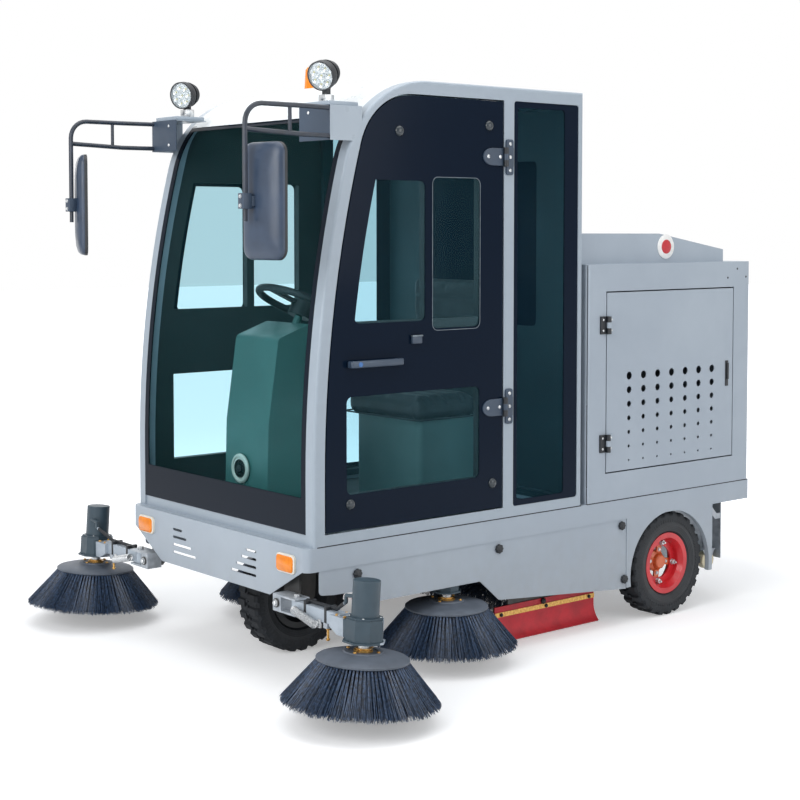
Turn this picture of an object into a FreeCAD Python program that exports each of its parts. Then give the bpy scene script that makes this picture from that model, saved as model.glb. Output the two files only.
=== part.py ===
import FreeCAD, Part
import math
import os

os.makedirs("parts", exist_ok=True)

# Compact ride-on road sweeper, millimetres.
# +X is the vehicle's left, +Y its rear, +Z up; the floor is Z = 0 and the
# origin is the middle of the footprint.

V = FreeCAD.Vector
X_AXIS = V(1, 0, 0)
Y_AXIS = V(0, 1, 0)
Z_AXIS = V(0, 0, 1)

# Driving dimensions
body_width = 1092.0
cab_length = 1213.0
box_length = 947.0
cab_height = 2000.0
box_height = 1375.0
wheel_radius = 203.0
deck_over_wheel = 81.0
cab_to_box = 27.0
sheet = 3.0
seat_gap = 0.3
running = 0.05
moving_gap = 5.0
overrun = 20.0
same_way = 0.999
half = body_width / 2
deck_height = 2 * wheel_radius + deck_over_wheel
box_front_y = cab_length + cab_to_box
body_length = box_front_y + box_length

# Stations along the vehicle, each counted from the piece that it goes with
tail_to_rear_wheel = 475.0
fender_ahead = 250.0
fender_behind = 253.0
bin_ahead = 12.0
brush_ahead = 285.0
flap_half_length = 260.0
pivot_ahead = 37.0
mid_arm_length = 268.0
rear_wheel_y = body_length - tail_to_rear_wheel
fender_front = rear_wheel_y - fender_ahead
fender_rear = rear_wheel_y + fender_behind
bin_front = fender_front - bin_ahead
main_brush_y = bin_front - brush_ahead
flap_front = main_brush_y - flap_half_length
flap_rear = main_brush_y + flap_half_length
mid_pivot_y = flap_front - pivot_ahead
mid_brush_y = mid_pivot_y - mid_arm_length

# Lower body
panel_lead = 40.0
rail_height = 78.0
rail_bottom = deck_height - rail_height
panel_drop = 180.0
panel_low_inset = 206.0
panel_corner_inset = 26.0
body_corner = 28.0
flange = 40.0
slot_height = 9.0
slot_pitch = 27.0
slot_top = deck_height - 52.0
slot_lengths_share = (0.40, 0.59, 0.79, 1.0)
slot_longest = 150.0
fender_low = 145.0
skirt_tuck = 15.0
skirt_front = 12.0
arch_gap = 28.0
arch_radius = wheel_radius + arch_gap
arch_drop = 23.0
arch_shift = 3.0
arch_lip_inset = 20.0
slot_inset = 284.0
slot_outer = half - slot_inset
slot_round_share = 0.45
skirt_low = 141.0
skirt_round = 15.0
skirt_outline_shares = ((0, 1), (0, 0.67), (0.04, 0.65), (0.105, 0.642), (0.165, 0.48), (0.482, 0.48),
                        (0.545, 0.20), (1, 0), (1, 1))

# Wheels
tyre_width = 102.0
tyre_inset = 8.0
side_height = 100.0
bead_radius = wheel_radius - side_height
rim_flange_height = 16.0
rim_flange_radius = bead_radius + rim_flange_height
rim_flange = 5.0
rim_wall = 4.0
rim_well = 14.0
seat_width_share = 0.72
well_share = 0.5
rear_tyre_out = half - tyre_inset
stub_radius = 17.5
lug_count = 26
lug_depth = 9.0
front_wheel_y = 298.0
fork_trail = 28.0
front_tyre_width = 116.0
axle_radius = 12.0
stem_radius = 20.0
fork_plate = 10.0
fork_half = 92.0
fork_blade = 34.0
fork_tip_share = 0.7
hub_radius = 42.0
hub_nose = 16.0
hub_back_share = 0.9
spider_radius = 84.0
spider_arms = 4
spider_arm_wide = 26.0
spider_thick = 8.0
spider_turn = -8.0
disc_opening = 64.0
hub_nose_radius = 27.0
hub_cap = 4.0
hub_end_gap = 1.0
tyre_shares = ((0.72, 0), (0.72, 0.17), (0.90, 0.24), (1.0, 0.46), (0.95, 0.82), (0.60, 0.91))
lug_root_share = 0.64
lug_inner_share = 0.17
lug_outer_share = 0.84
lug_edge_share = 0.985
lug_step_shares = (0.0, 0.46, 0.54, 0.92)
shoulder_drop = 9.0

# Cab frame
screen_radius = 4094.0
screen_lead = 11.0
curve_start = 700.0
corner_radius = 360.0
pillar = 44.0
door_corner = 228.0
door_top_drop = 47.0
sill = 37.0
door_to_cab_rear = 396.0
door_rear = cab_length - door_to_cab_rear
b_pillar = 48.0
rear_post = 25.0
frame_rounding = 10.0
glass = 5.0
screen_drop = 118.0
screen_top = cab_height - screen_drop
roof_crown = 20.0
roof_thick = 18.0
cross_beam = 36.0
brow_y = 300.0
rear_window_inset = 216.0
rear_window_half = half - rear_window_inset
rear_window_rise = 653.0
rear_window_drop = 240.0
rear_window_low = deck_height + rear_window_rise
rear_window_high = cab_height - rear_window_drop
wall_y = cab_length - rear_post

# Doors
door_thick = 26.0
door_rim = 60.0
window_corner = 22.0
upper_tall = 475.0
upper_drop = 320.0
lower_tall = 319.0
lower_rise = 157.0
upper_high = cab_height - upper_drop
upper_low = upper_high - upper_tall
lower_low = deck_height + lower_rise
lower_high = lower_low + lower_tall
window_front_inset = 92.0
pane_to_door_rear = 114.0
rear_pane_length = 215.0
pane_bar = 32.0
rear_pane_rear = door_rear - pane_to_door_rear
rear_pane_front = rear_pane_rear - rear_pane_length
front_pane_rear = rear_pane_front - pane_bar
hinge_pin = 5.0
hinge_knuckle = 9.0
hinge_stand = 13.0
knuckle_relief = 1.0
knuckle_web = 4.0
knuckle_gap = 0.5
hinge_height = 66.0
hinge_parts = 3
hinge_leaf = 6.0
hinge_reach = 58.0
high_hinge_drop = 244.0
low_hinge_rise = 396.0
door_hinge_levels = (cab_height - high_hinge_drop, deck_height + low_hinge_rise)
handle_y = 124.0
handle_length = 219.0
handle_z = 1069.0
handle_stand = 26.0
handle_height = 24.0

# Equipment box
service_front_inset = 100.0
service_rear_inset = 102.0
service_sill = 105.0
service_drop = 101.0
service_front = box_front_y + service_front_inset
service_rear = body_length - service_rear_inset
service_low = deck_height + service_sill
service_high = box_height - service_drop
service_length = service_rear - service_front
service_tall = service_high - service_low
service_depth = 22.0
service_hinge_half = 36.0
service_level_shares = (0.8167, 0.1686)
service_levels = [service_low + share * service_tall for share in service_level_shares]
vent_rows = 7
vent_sides = 10
vent_large = 15.5
vent_small = 4.5
vent_first_shares = (0.1732, 0.5293)
vent_step_shares = (0.1082, 0.0783)
cover_inset = 42.0
cover_rise = 113.0
cover_rear_rise = 49.0
cover_level = 440.0
cover_rear_inset = 121.0
cover_wall = 4.0
cover_top = box_height + cover_rise
cover_low = box_height + cover_rear_rise
cover_break = box_front_y + cover_level
cover_rear = body_length - cover_rear_inset
battery_inset = 246.0
battery_half = half - battery_inset
battery_from_front = 90.0
battery_length = 600.0
battery_front = box_front_y + battery_from_front
battery_tall = 260.0

# Brushes
front_brush_out = 288.0
front_brush_x = half + front_brush_out
front_brush_lead = 43.0
bristle_radius = 248.0
disc_radius = 145.0
disc_top_share = 0.8
disc_height = 24.0
coupling_ring = 30.0
coupling_ring_height = 8.0
coupling_radius = 14.0
bristle_root = 36.0
bristle_tip = 26.0
bristle_low = 62.0
brush_tilt = 4.0
tilt_height = 150.0
motor_radius = 43.0
motor_height = 118.0
motor_flange = 9.0
motor_flange_thick = 6.0
motor_round = 3.0
gear_low = 250.0
gear_height = 72.0
gear_half = 56.0
gear_plate = 6.0
gear_plate_rim = 7.0
head_corner_share = 0.42
mid_gear_half = 42.0
mid_motor_radius = 40.0
shaft_show = 26.0
mid_brush_inset = 54.0
mid_brush_x = half - mid_brush_inset
main_brush_radius = 165.0
main_brush_rise = 17.0
main_brush_z = main_brush_radius + main_brush_rise
main_shaft = 14.0
tunnel_gap = 22.0
tunnel_inset = 146.0
tunnel_side = half - tunnel_inset
main_brush_half = tunnel_side - moving_gap
flap_low = 3.0
flap_high = 128.0
flap_thick = 5.0
flap_bend = 70.0
flap_curve = 90.0
clamp_wide = 17.0
clamp_drop = 21.0
tunnel_low = 108.0

# Brush arms
arm_pin_inset = 128.0
arm_pin_x = half - arm_pin_inset
arm_pin_z = 298.0
arm_pin = 10.0
pin_cap_share = 1.5
bracket_wide = 58.0
bracket_back = 22.0
bracket_length = 100.0
bracket_tall = 56.0
bracket_sheet = 6.0
hanger_plate = 8.0
hanger_gap = 0.5
hanger_half = 42.0
arm_y = -(hanger_plate + hanger_gap + bracket_wide / 2)
swing_pin = 8.0
swing_reach = 74.0
swing_x = arm_pin_x + swing_reach
eye_radius = 19.0
arm_tube = 40.0
elbow_out = 196.0
elbow_x = half + elbow_out
elbow_rise = 8.0
elbow_half = 32.0
elbow_end_share = 0.5
spring_lug = 9.0
spring_lug_drop = 16.0
arm_cable = 6.0
cable_stand = 2.0
cable_lead = 18.0
cable_side_share = 0.55
mid_pivot_drop = 121.0
mid_pivot_z = deck_height - mid_pivot_drop
mid_eye = 40.0
mid_cheek = 8.0
mid_beam_share = 1 / 3

# Chassis
rail_inset = 246.0
rail_centre = half - rail_inset
tube_wide = 40.0
tube_tall = 60.0
frame_top = deck_height - sheet
frame_low = frame_top - tube_tall
cross_station_offsets = (-23.0, -150.0, 125.0, -72.0, 48.0, -82.0)
cross_station_ends = (mid_pivot_y, main_brush_y, main_brush_y, rear_wheel_y, rear_wheel_y, body_length)
cross_stations = [0.0] + [end + offset for end, offset in zip(cross_station_ends, cross_station_offsets)]
head_y = front_wheel_y - fork_trail
head_radius = 34.0
head_beam_half = 45.0
head_beam_share = 0.75
axle_plate = 8.0
axle_plate_inset = 166.0
axle_plate_in = half - axle_plate_inset
axle_plate_half = 90.0
axle_plate_low = 150.0
hub_recess = 42.0

# Dust bin
runner_inset = 196.0
runner_x = half - runner_inset
runner_drop = 103.0
runner_z = deck_height - runner_drop
runner_leg = 16.0
bin_inset = 201.0
bin_half = half - bin_inset
bin_low = 150.0
bin_wall = 4.0
bin_rear_inset = 40.0
bin_rear = body_length - bin_rear_inset
bin_top = rail_bottom - 2 * moving_gap
bin_lip = bin_half + runner_leg
face_inset = 106.0
face_half = half - face_inset
mouth_rise = 50.0
handle_half = 90.0
handle_reach = 26.0
bar_drop = 60.0
bar_tall = 20.0
caster_inset = 151.0
caster_x = half - caster_inset
caster_from_tail = 79.0
caster_y = body_length - caster_from_tail
caster_radius = 37.0
caster_width = 30.0
caster_side_gap = 1.0
caster_z = 142.0
caster_axle = 6.0
rim_edge_share = 0.9
latch_length = 90.0
latch_tall = 80.0
latch_drop = 171.0
latch_shares = ((0, 1), (0.29, 1), (0.29, 0.78), (0.73, 0.28), (1, 0.28), (1, 0), (0.62, 0), (0.04, 0.68))

# Inside the cab
console_half = 130.0
console_shares = ((0, 0), (1.0, 0), (0.86, 0.55), (1.0, 0.94), (0.80, 1.0), (0.22, 0.93), (0.04, 0.5))
console_front = 95.0
console_depth = 240.0
console_height = 690.0
hand_wheel_y = 345.0
hand_wheel_rise = 745.0
hand_wheel_z = deck_height + hand_wheel_rise
hand_wheel_radius = 165.0
hand_wheel_tube = 13.0
hand_wheel_lean = 25.0
hand_wheel_spokes = 3
spoke_turn = 60.0
column_radius = 14.0
column_length = 190.0
seat_half = 230.0
seat_behind = 103.0
seat_length = 420.0
seat_rear = cab_length - seat_behind
seat_front = seat_rear - seat_length
seat_rise = 313.0
seat_top = deck_height + seat_rise
cushion_thick = 95.0
back_height = 440.0
back_thick = 85.0
pedal_x = 205.0
pedal_half = 34.0
pedal_y = 250.0
pedal_rise = 53.0
pedal_z = deck_height + pedal_rise
pedal_lean = 35.0
pedal_foot_share = 0.33
pedal_plate = 6.0
pedal_foot_behind = 9.0
pedal_foot_rise = 12.0

# Lamps, beacon and mirrors
lamp_inset = 121.0
lamp_x = half - lamp_inset
lamp_y = 96.0
lamp_drop = 5.0
lamp_z = cab_height - lamp_drop
lamp_radius = 45.0
lamp_depth = 52.0
lamp_stand = 12.0
shelf_depth = 130.0
bracket_front_y = 57.0
mirror_bracket_drop = 98.0
mirror_bracket_tall = 112.0
mirror_bracket_high = cab_height - mirror_bracket_drop
mirror_bracket_low = mirror_bracket_high - mirror_bracket_tall
mirror_tube = 8.0
tube_entry = 16.0
post_bend_back = 40.0
post_bend_drop = 48.0
post_end = 7.0
post_end_length = 36.0
post_y = -273.0
post_out = 8.0
post_x = half + post_out
post_drop = 470.0
post_low = cab_height - post_drop
top_tube_drop = 107.0
low_tube_drop = 200.0
top_tube_z = cab_height - top_tube_drop
low_tube_z = cab_height - low_tube_drop
brace_y = -106.0
brace_radius = 6.0
mirror_wide = 170.0
mirror_tall = 357.0
mirror_deep = 34.0
mirror_rounding = 8.5
clamp_half = 16.0
clamp_half_tall = 24.0
mirror_yaw = 10.0
mirror_out = 31.0
mirror_drop = 408.0
mirror_y = -222.0
mirror_mid = (half + mirror_out, mirror_y, cab_height - mirror_drop)
beacon_place = (-200.0, 560.0)
beacon_radius = 50.0
beacon_base = 24.0
beacon_tall = 92.0
dome_taper = 9.0
signal_inset = 108.0
signal_x = half - signal_inset
signal_drop = 60.0
signal_z = deck_height - signal_drop
signal_half = 50.0
signal_tall_half = 31.0
signal_depth = 14.0

# The front brushes reach furthest forward and the tail lamps furthest back,
# and the origin is half way between them.
brush_lean = math.radians(brush_tilt)
brush_reach = (front_brush_lead + bristle_radius * math.cos(brush_lean)
               + (tilt_height - bristle_low) * math.sin(brush_lean))
tail_lamp_depth = 8.0
tail_lamp_corner = 7.75
cab_front = (brush_reach - body_length - tail_lamp_depth) / 2
cab_rear = cab_front + cab_length


def place(x, y, z):
    """A point whose Y is counted from the cab's front plane."""
    return V(x, cab_front + y, z)


def box(x0, x1, y0, y1, z0, z1):
    return Part.makeBox(x1 - x0, y1 - y0, z1 - z0, place(x0, y0, z0))


def rod(radius, length, base, axis):
    return Part.makeCylinder(radius, length, base, axis)


def pipe(outer, inner, length, base, axis):
    return rod(outer, length, base, axis).cut(rod(inner, length, base, axis))


def prism(points, direction):
    return Part.Face(Part.makePolygon(points + points[:1])).extrude(direction)


def side_plate(outline, x0, x1):
    """Extrude an outline of (Y, Z) points along X."""
    return prism([place(x0, y, z) for y, z in outline], V(x1 - x0, 0, 0))


def front_plate(outline, y0, y1):
    """Extrude an outline of (X, Z) points along Y."""
    return prism([place(x, y0, z) for x, z in outline], V(0, y1 - y0, 0))


def rounded_block(x0, x1, y0, y1, z0, z1, radius, axis):
    """A block whose four edges along one axis are rounded."""
    block = box(x0, x1, y0, y1, z0, z1)
    edges = [e for e in block.Edges if abs(e.tangentAt(e.FirstParameter).dot(axis)) > same_way]
    return block.makeFillet(radius, edges)


def other_side(shape):
    return shape.mirror(V(0, 0, 0), X_AXIS)


def both_sides(shape):
    return Part.makeCompound([shape, other_side(shape)])


def revolve(outline, centre, axis):
    """Turn a closed outline of points about an axis through centre."""
    wire = Part.makePolygon(outline + outline[:1])
    return Part.Face(wire).revolve(centre, axis, 360)


def tube_run(points, radius):
    """Round tube through points, with rounded bends."""
    path = Part.makePolygon(points)
    ring = Part.Wire(Part.makeCircle(radius, points[0], points[1].sub(points[0])))
    sweep = Part.BRepOffsetAPI.MakePipeShell(path)
    sweep.setTransitionMode(2)
    sweep.add(ring)
    sweep.build()
    sweep.makeSolid()
    return sweep.shape()


def solid_of(shape):
    """One clean solid out of a fused shape."""
    return shape.removeSplitter()


def export(name, shape):
    shape.exportStep("parts/" + name + ".step")


def arc(centre, radius, start, end, x):
    """An arc in a plane of constant X, angles in radians from +Y towards +Z."""
    def at(angle):
        return V(x, centre[0] + radius * math.cos(angle), centre[1] + radius * math.sin(angle))
    return Part.Arc(at(start), at((start + end) / 2), at(end)).toShape()


def line(start, end):
    return Part.LineSegment(start, end).toShape()


def front_curve(inset, corner, top):
    """Centres and angles of the cab's front: a long arc and the roof corner.

    The side view starts upright, leans back on the long arc from curve_start
    up, and turns into the level roof line with the corner arc."""
    long_centre = (cab_front - screen_lead + screen_radius, curve_start)
    long_radius = screen_radius - inset
    corner_z = top - corner
    rise = corner_z - curve_start
    corner_y = long_centre[0] - math.sqrt((long_radius - corner) ** 2 - rise ** 2)
    meet = math.pi - math.asin(rise / (long_radius - corner))
    return long_centre, long_radius, (corner_y, corner_z), meet


def side_outline(inset, corner, top, bottom, rear, x):
    """The cab's side view as a closed wire at one X."""
    long_centre, long_radius, corner_centre, meet = front_curve(inset, corner, top)
    foot = V(x, long_centre[0] - long_radius, bottom)
    knee = V(x, long_centre[0] - long_radius, curve_start)
    brow = V(x, corner_centre[0], top)
    back_high = V(x, rear, top)
    back_low = V(x, rear, bottom)
    edges = [line(foot, knee),
             arc(long_centre, long_radius, math.pi, meet, x),
             arc(corner_centre, corner, meet, math.pi / 2, x),
             line(brow, back_high),
             line(back_high, back_low),
             line(back_low, foot)]
    return Part.Wire(edges)


def extrude_wire(wire, length):
    return Part.Face(wire).extrude(V(length, 0, 0))


# Cab frame: a side of square tube, bent over the door, with the middle
# pillar and the rear post, and the cross tubes that join the two sides.

def opening_top():
    return cab_height - door_top_drop


def door_opening(shrink, x):
    return side_outline(pillar + shrink, door_corner - shrink, opening_top() - shrink,
                        deck_height + sill + shrink, cab_front + door_rear - shrink, x)


def cab_side():
    x_in = half - pillar
    skin = extrude_wire(side_outline(0, corner_radius, cab_height, deck_height, cab_rear, x_in), pillar)
    outer_edges = [e for e in skin.Edges
                   if all(abs(v.X - half) < sheet for v in e.Vertexes)
                   and max(v.Z for v in e.Vertexes) > deck_height + sheet]
    skin = skin.makeFillet(frame_rounding, outer_edges)
    door_hole = extrude_wire(door_opening(0, x_in - overrun), pillar + 2 * overrun)
    quarter_hole = rounded_block(x_in - overrun, half + overrun, door_rear + b_pillar,
                                 cab_length - rear_post, deck_height + sill, opening_top(),
                                 window_corner / 2, X_AXIS)
    return skin.cut(door_hole).cut(quarter_hole)


def cab_cross_tubes():
    x_in = half - pillar
    sill_front = -screen_lead + glass
    front_sill = box(-x_in, x_in, sill_front, sill_front + pillar, deck_height,
                     deck_height + sill - seat_gap)
    rear_top = box(-x_in, x_in, cab_length - rear_post - cross_beam, cab_length - rear_post,
                   cab_height - roof_thick - seat_gap - cross_beam, cab_height - roof_thick - seat_gap)
    rear_low = box(-x_in, x_in, cab_length - rear_post - cross_beam, cab_length - rear_post,
                   deck_height, deck_height + sill)
    brow = box(-x_in, x_in, brow_y, brow_y + cross_beam, opening_top() - cross_beam, opening_top())
    brow = brow.cut(roof_solid())
    return front_sill.fuse([rear_top, rear_low, brow])


def roof_section(crown, x):
    """One closed section of the roof skin, raised by the crown."""
    outer = front_curve(0, corner_radius + crown, cab_height + crown)
    inner_corner = corner_radius + crown - roof_thick
    centre = outer[2]
    start = math.pi - math.asin((screen_top - roof_thick - centre[1]) / (corner_radius + crown))
    rear = cab_rear
    outer_brow = V(x, centre[0], centre[1] + corner_radius + crown)
    inner_brow = V(x, centre[0], centre[1] + inner_corner)
    outer_arc = arc(centre, corner_radius + crown, start, math.pi / 2, x)
    inner_arc = arc(centre, inner_corner, math.pi / 2, start, x)
    edges = [outer_arc,
             line(outer_brow, V(x, rear, outer_brow.z)),
             line(V(x, rear, outer_brow.z), V(x, rear, inner_brow.z)),
             line(V(x, rear, inner_brow.z), inner_brow),
             inner_arc,
             line(inner_arc.Vertexes[-1].Point, outer_arc.Vertexes[0].Point)]
    return Part.Wire(Part.__sortEdges__(edges))


def roof_solid():
    x_in = half - pillar
    sections = [roof_section(0, -x_in), roof_section(roof_crown, 0), roof_section(0, x_in)]
    shell = Part.makeLoft(sections, True, False)
    below = box(-half, half, -panel_lead, cab_length, deck_height, screen_top + seat_gap)
    return shell.cut(below)


def screen_glass():
    """The windscreen: upright foot, long bend, and the start of the roof corner."""
    x_in = half - pillar - seat_gap
    foot = deck_height + sill

    def path(inset, x):
        long_centre, long_radius, centre, meet = front_curve(inset, corner_radius - inset,
                                                             cab_height - inset)
        radius = corner_radius - inset
        end = math.pi - math.asin((screen_top - centre[1]) / radius)
        low = V(x, long_centre[0] - long_radius, foot)
        knee = V(x, long_centre[0] - long_radius, curve_start)
        return [line(low, knee),
                arc(long_centre, long_radius, math.pi, meet, x),
                arc(centre, radius, meet, end, x)]

    outer = path(0, -x_in)
    inner = path(glass, -x_in)
    ends = [line(outer[0].Vertexes[0].Point, inner[0].Vertexes[0].Point),
            line(outer[-1].Vertexes[-1].Point, inner[-1].Vertexes[-1].Point)]
    wire = Part.Wire(Part.__sortEdges__(outer + inner + ends))
    return extrude_wire(wire, 2 * x_in)


left_side = cab_side()
cab_frame = left_side.fuse([other_side(left_side), cab_cross_tubes()])
export("cab_frame", solid_of(cab_frame))
export("cab_roof", roof_solid())
export("windscreen", screen_glass())


# Rear wall of the cab, with its window, and the fixed side glasses.

def cab_rear_wall():
    x_in = half - pillar
    wall = box(-x_in, x_in, wall_y, wall_y + sheet, deck_height, cab_height - roof_thick - seat_gap)
    hole = rounded_block(-rear_window_half, rear_window_half, wall_y - overrun, wall_y + overrun,
                         rear_window_low, rear_window_high, window_corner, Y_AXIS)
    return wall.cut(hole)


def fixed_windows():
    quarter = rounded_block(half - sheet - glass, half - sheet, door_rear + b_pillar + seat_gap,
                            cab_length - rear_post - seat_gap, deck_height + sill + seat_gap,
                            opening_top() - seat_gap, window_corner / 2, X_AXIS)
    back = rounded_block(-rear_window_half - window_corner, rear_window_half + window_corner,
                         wall_y + sheet, wall_y + sheet + glass, rear_window_low - window_corner,
                         rear_window_high + window_corner, window_corner, Y_AXIS)
    return Part.makeCompound([quarter, other_side(quarter), back])


export("cab_rear_wall", cab_rear_wall())
export("cab_windows", fixed_windows())


# Doors: a frame of flat steel bars with a broad middle rail, and one bonded pane
# over its whole outside.

def pane_wire(shrink, x):
    return door_opening(moving_gap + shrink, x)


def door_frame():
    """The bars of a door: three rails across it and the stiles between them."""
    x_out = half - glass
    x_in = x_out - door_thick
    slab = extrude_wire(pane_wire(0, x_in), door_thick)
    x0 = x_in - overrun
    x1 = x_out + overrun
    lean = extrude_wire(side_outline(pillar + door_rim, door_corner - door_rim / 2,
                                     opening_top() - door_rim, lower_low,
                                     cab_front + front_pane_rear, x0), x1 - x0)
    front_pane = box(x0, x1, window_front_inset, front_pane_rear, upper_low, upper_high)
    rear_pane = box(x0, x1, rear_pane_front, rear_pane_rear, upper_low, upper_high)
    low_pane = box(x0, x1, window_front_inset + door_rim / 2, rear_pane_rear, lower_low, lower_high)
    whole = slab.cut(front_pane.common(lean)).cut(rear_pane).cut(low_pane)
    levels = (deck_height, lower_low, lower_high, upper_low, upper_high, cab_height)
    bars = []
    for low, high in zip(levels, levels[1:]):
        bars += whole.common(box(x0, x1, -panel_lead, cab_length, low, high)).Solids
    return Part.makeCompound(bars)


def door_pane():
    return extrude_wire(pane_wire(0, half - glass + seat_gap), glass - seat_gap)


def hinge_axis_point():
    return half + hinge_stand, door_rear - moving_gap / 2


def hinge_leaf_solid(level, toward, length, knuckle_low, knuckle_high, bored):
    """A hinge leaf that lies on the side of the cab, with its knuckle.

    toward is -1 for the leaf on the door and +1 for the one on the pillar."""
    axis_x, axis_y = hinge_axis_point()
    x0 = half + seat_gap
    ends = sorted((axis_y, axis_y + toward * length))
    leaf = box(x0, x0 + hinge_leaf, ends[0], ends[1], level - hinge_height / 2, level + hinge_height / 2)
    swept = rod(hinge_knuckle + knuckle_relief, hinge_height + 2 * overrun,
                place(axis_x, axis_y, level - hinge_height / 2 - overrun), Z_AXIS)
    leaf = leaf.cut(swept)
    solid = leaf
    for low, high in zip(knuckle_low, knuckle_high):
        base = place(axis_x, axis_y, level + low)
        knuckle = rod(hinge_knuckle, high - low, base, Z_AXIS)
        web_ends = sorted((axis_y, axis_y + toward * (hinge_knuckle + knuckle_web)))
        web = box(x0, x0 + hinge_leaf, web_ends[0], web_ends[1], level + low, level + high)
        solid = solid.fuse(knuckle).fuse(web)
    if bored:
        solid = solid.cut(rod(hinge_pin + running, hinge_height * 2,
                              place(axis_x, axis_y, level - hinge_height), Z_AXIS))
    return solid


def hinge_post(level, length):
    """The fixed half: two outer knuckles on the leaf, with the pin."""
    axis_x, axis_y = hinge_axis_point()
    third = hinge_height / hinge_parts
    post = hinge_leaf_solid(level, 1, length, (-hinge_height / 2, third / 2), (-third / 2,
                                                                               hinge_height / 2), False)
    pin = rod(hinge_pin, hinge_height, place(axis_x, axis_y, level - hinge_height / 2), Z_AXIS)
    return solid_of(post.fuse(pin))


def door_leaf(level, length):
    third = hinge_height / hinge_parts
    return solid_of(hinge_leaf_solid(level, -1, length, (-third / 2 + knuckle_gap,),
                                     (third / 2 - knuckle_gap,), True))


def door_handle():
    x0 = half + seat_gap
    foot = handle_height
    front_foot = box(x0, x0 + handle_stand, handle_y, handle_y + foot,
                     handle_z - handle_height / 2, handle_z + handle_height / 2)
    rear_foot = front_foot.translated(V(0, handle_length - foot, 0))
    grip = box(x0 + handle_stand / 2, x0 + handle_stand, handle_y, handle_y + handle_length,
               handle_z - handle_height / 2, handle_z + handle_height / 2)
    return solid_of(front_foot.fuse([rear_foot, grip]))


door_hardware = Part.makeCompound([door_leaf(level,
                                             hinge_reach) for level in door_hinge_levels] + [door_handle()])
for side, turn in (("left", lambda s: s), ("right", other_side)):
    export("door_frame_" + side, turn(door_frame()))
    export("door_glass_" + side, turn(door_pane()))
    export("door_hardware_" + side, turn(door_hardware))


# Lower body: a band of folded sheet round the whole deck, the slotted front
# panel below it, and the fender round each rear wheel.

def upright_front_edges(block):
    return [e for e in block.Edges
            if abs(e.Vertexes[0].X - e.Vertexes[-1].X) < sheet
            and abs(e.Vertexes[0].Y - e.Vertexes[-1].Y) < sheet
            and e.Vertexes[0].Y < cab_front + body_corner]


def band_block(inset, low, high):
    block = box(-half + inset, half - inset, -panel_lead + inset, body_length - inset, low, high)
    return block.makeFillet(body_corner - inset, upright_front_edges(block))


def front_panel():
    low = deck_height - panel_drop
    wide = half - panel_corner_inset
    narrow = half - panel_low_inset
    outline = [(-wide, rail_bottom), (-narrow, low), (narrow, low), (wide, rail_bottom)]
    return front_plate(outline, -panel_lead, -panel_lead + sheet)


def panel_slots():
    slots = []
    for row, share in enumerate(slot_lengths_share):
        z = slot_top - row * slot_pitch
        length = slot_longest * share
        slot = rounded_block(slot_outer - length, slot_outer, -panel_lead - overrun, -panel_lead + overrun,
                             z - slot_height / 2, z + slot_height / 2, slot_height * slot_round_share,
                             Y_AXIS)
        slots.append(both_sides(slot))
    return slots


def fender():
    outline = [(fender_front, rail_bottom), (fender_front, fender_low),
               (fender_rear, fender_low), (fender_rear, rail_bottom)]
    plate = side_plate(outline, half - sheet, half)
    centre = place(half - flange, rear_wheel_y + arch_shift, wheel_radius - arch_drop)
    hole = rod(arch_radius, 2 * flange, centre, X_AXIS)
    lip = pipe(arch_radius + sheet, arch_radius, flange - arch_lip_inset, centre.add(V(arch_lip_inset, 0,
                                                                                       0)), X_AXIS)
    lip = lip.common(box(half - flange, half, fender_front, fender_rear, fender_low, rail_bottom))
    return plate.cut(hole).fuse(lip)


def lower_body():
    band = band_block(0, rail_bottom, deck_height).cut(band_block(sheet, rail_bottom - overrun,
                                                                  deck_height + overrun))
    ledge = band_block(0, deck_height - sheet, deck_height)
    ledge = ledge.cut(box(-half + flange, half - flange, 0, body_length - flange,
                          deck_height - flange, deck_height + flange))
    side = fender()
    body = band.fuse([ledge, front_panel(), side, other_side(side)])
    return solid_of(body.cut(panel_slots()))


def skirt_panel():
    """The loose side panel: its top is tucked behind the band."""
    length = fender_front - skirt_front
    top = rail_bottom + skirt_tuck
    outline = [(skirt_front + y * length, skirt_low + z * (top - skirt_low)) for y,
               z in skirt_outline_shares]
    plate = side_plate(outline, half - 2 * sheet, half - sheet)
    soft = [e for e in plate.Edges
            if abs(e.Vertexes[0].Y - e.Vertexes[-1].Y) < seat_gap
            and abs(e.Vertexes[0].Z - e.Vertexes[-1].Z) < seat_gap
            and e.Vertexes[0].Z < top - skirt_tuck
            and e.Vertexes[0].Y < cab_front + fender_front - sheet]
    return plate.makeFillet(skirt_round, soft)


export("lower_body", lower_body())
export("skirt_panels", both_sides(skirt_panel()))


# Chassis: two long box tubes, cross tubes out to the band, the steering head,
# the hangers of the brush arms, and a plate with a stub axle for each rear wheel.

def stub_axle():
    x0 = axle_plate_in
    plate_outline = [(rear_wheel_y - axle_plate_half, frame_low), (rear_wheel_y - stub_radius * 2,
                                                                   axle_plate_low),
                     (rear_wheel_y + stub_radius * 2, axle_plate_low), (rear_wheel_y + axle_plate_half,
                                                                        frame_low)]
    plate = side_plate(plate_outline, x0, x0 + axle_plate)
    boss = rod(stub_radius * 2, stub_radius, place(x0 + axle_plate, rear_wheel_y, wheel_radius), X_AXIS)
    pin = rod(stub_radius, stub_end - x0, place(x0, rear_wheel_y, wheel_radius), X_AXIS)
    return plate.fuse([boss, pin])


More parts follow.
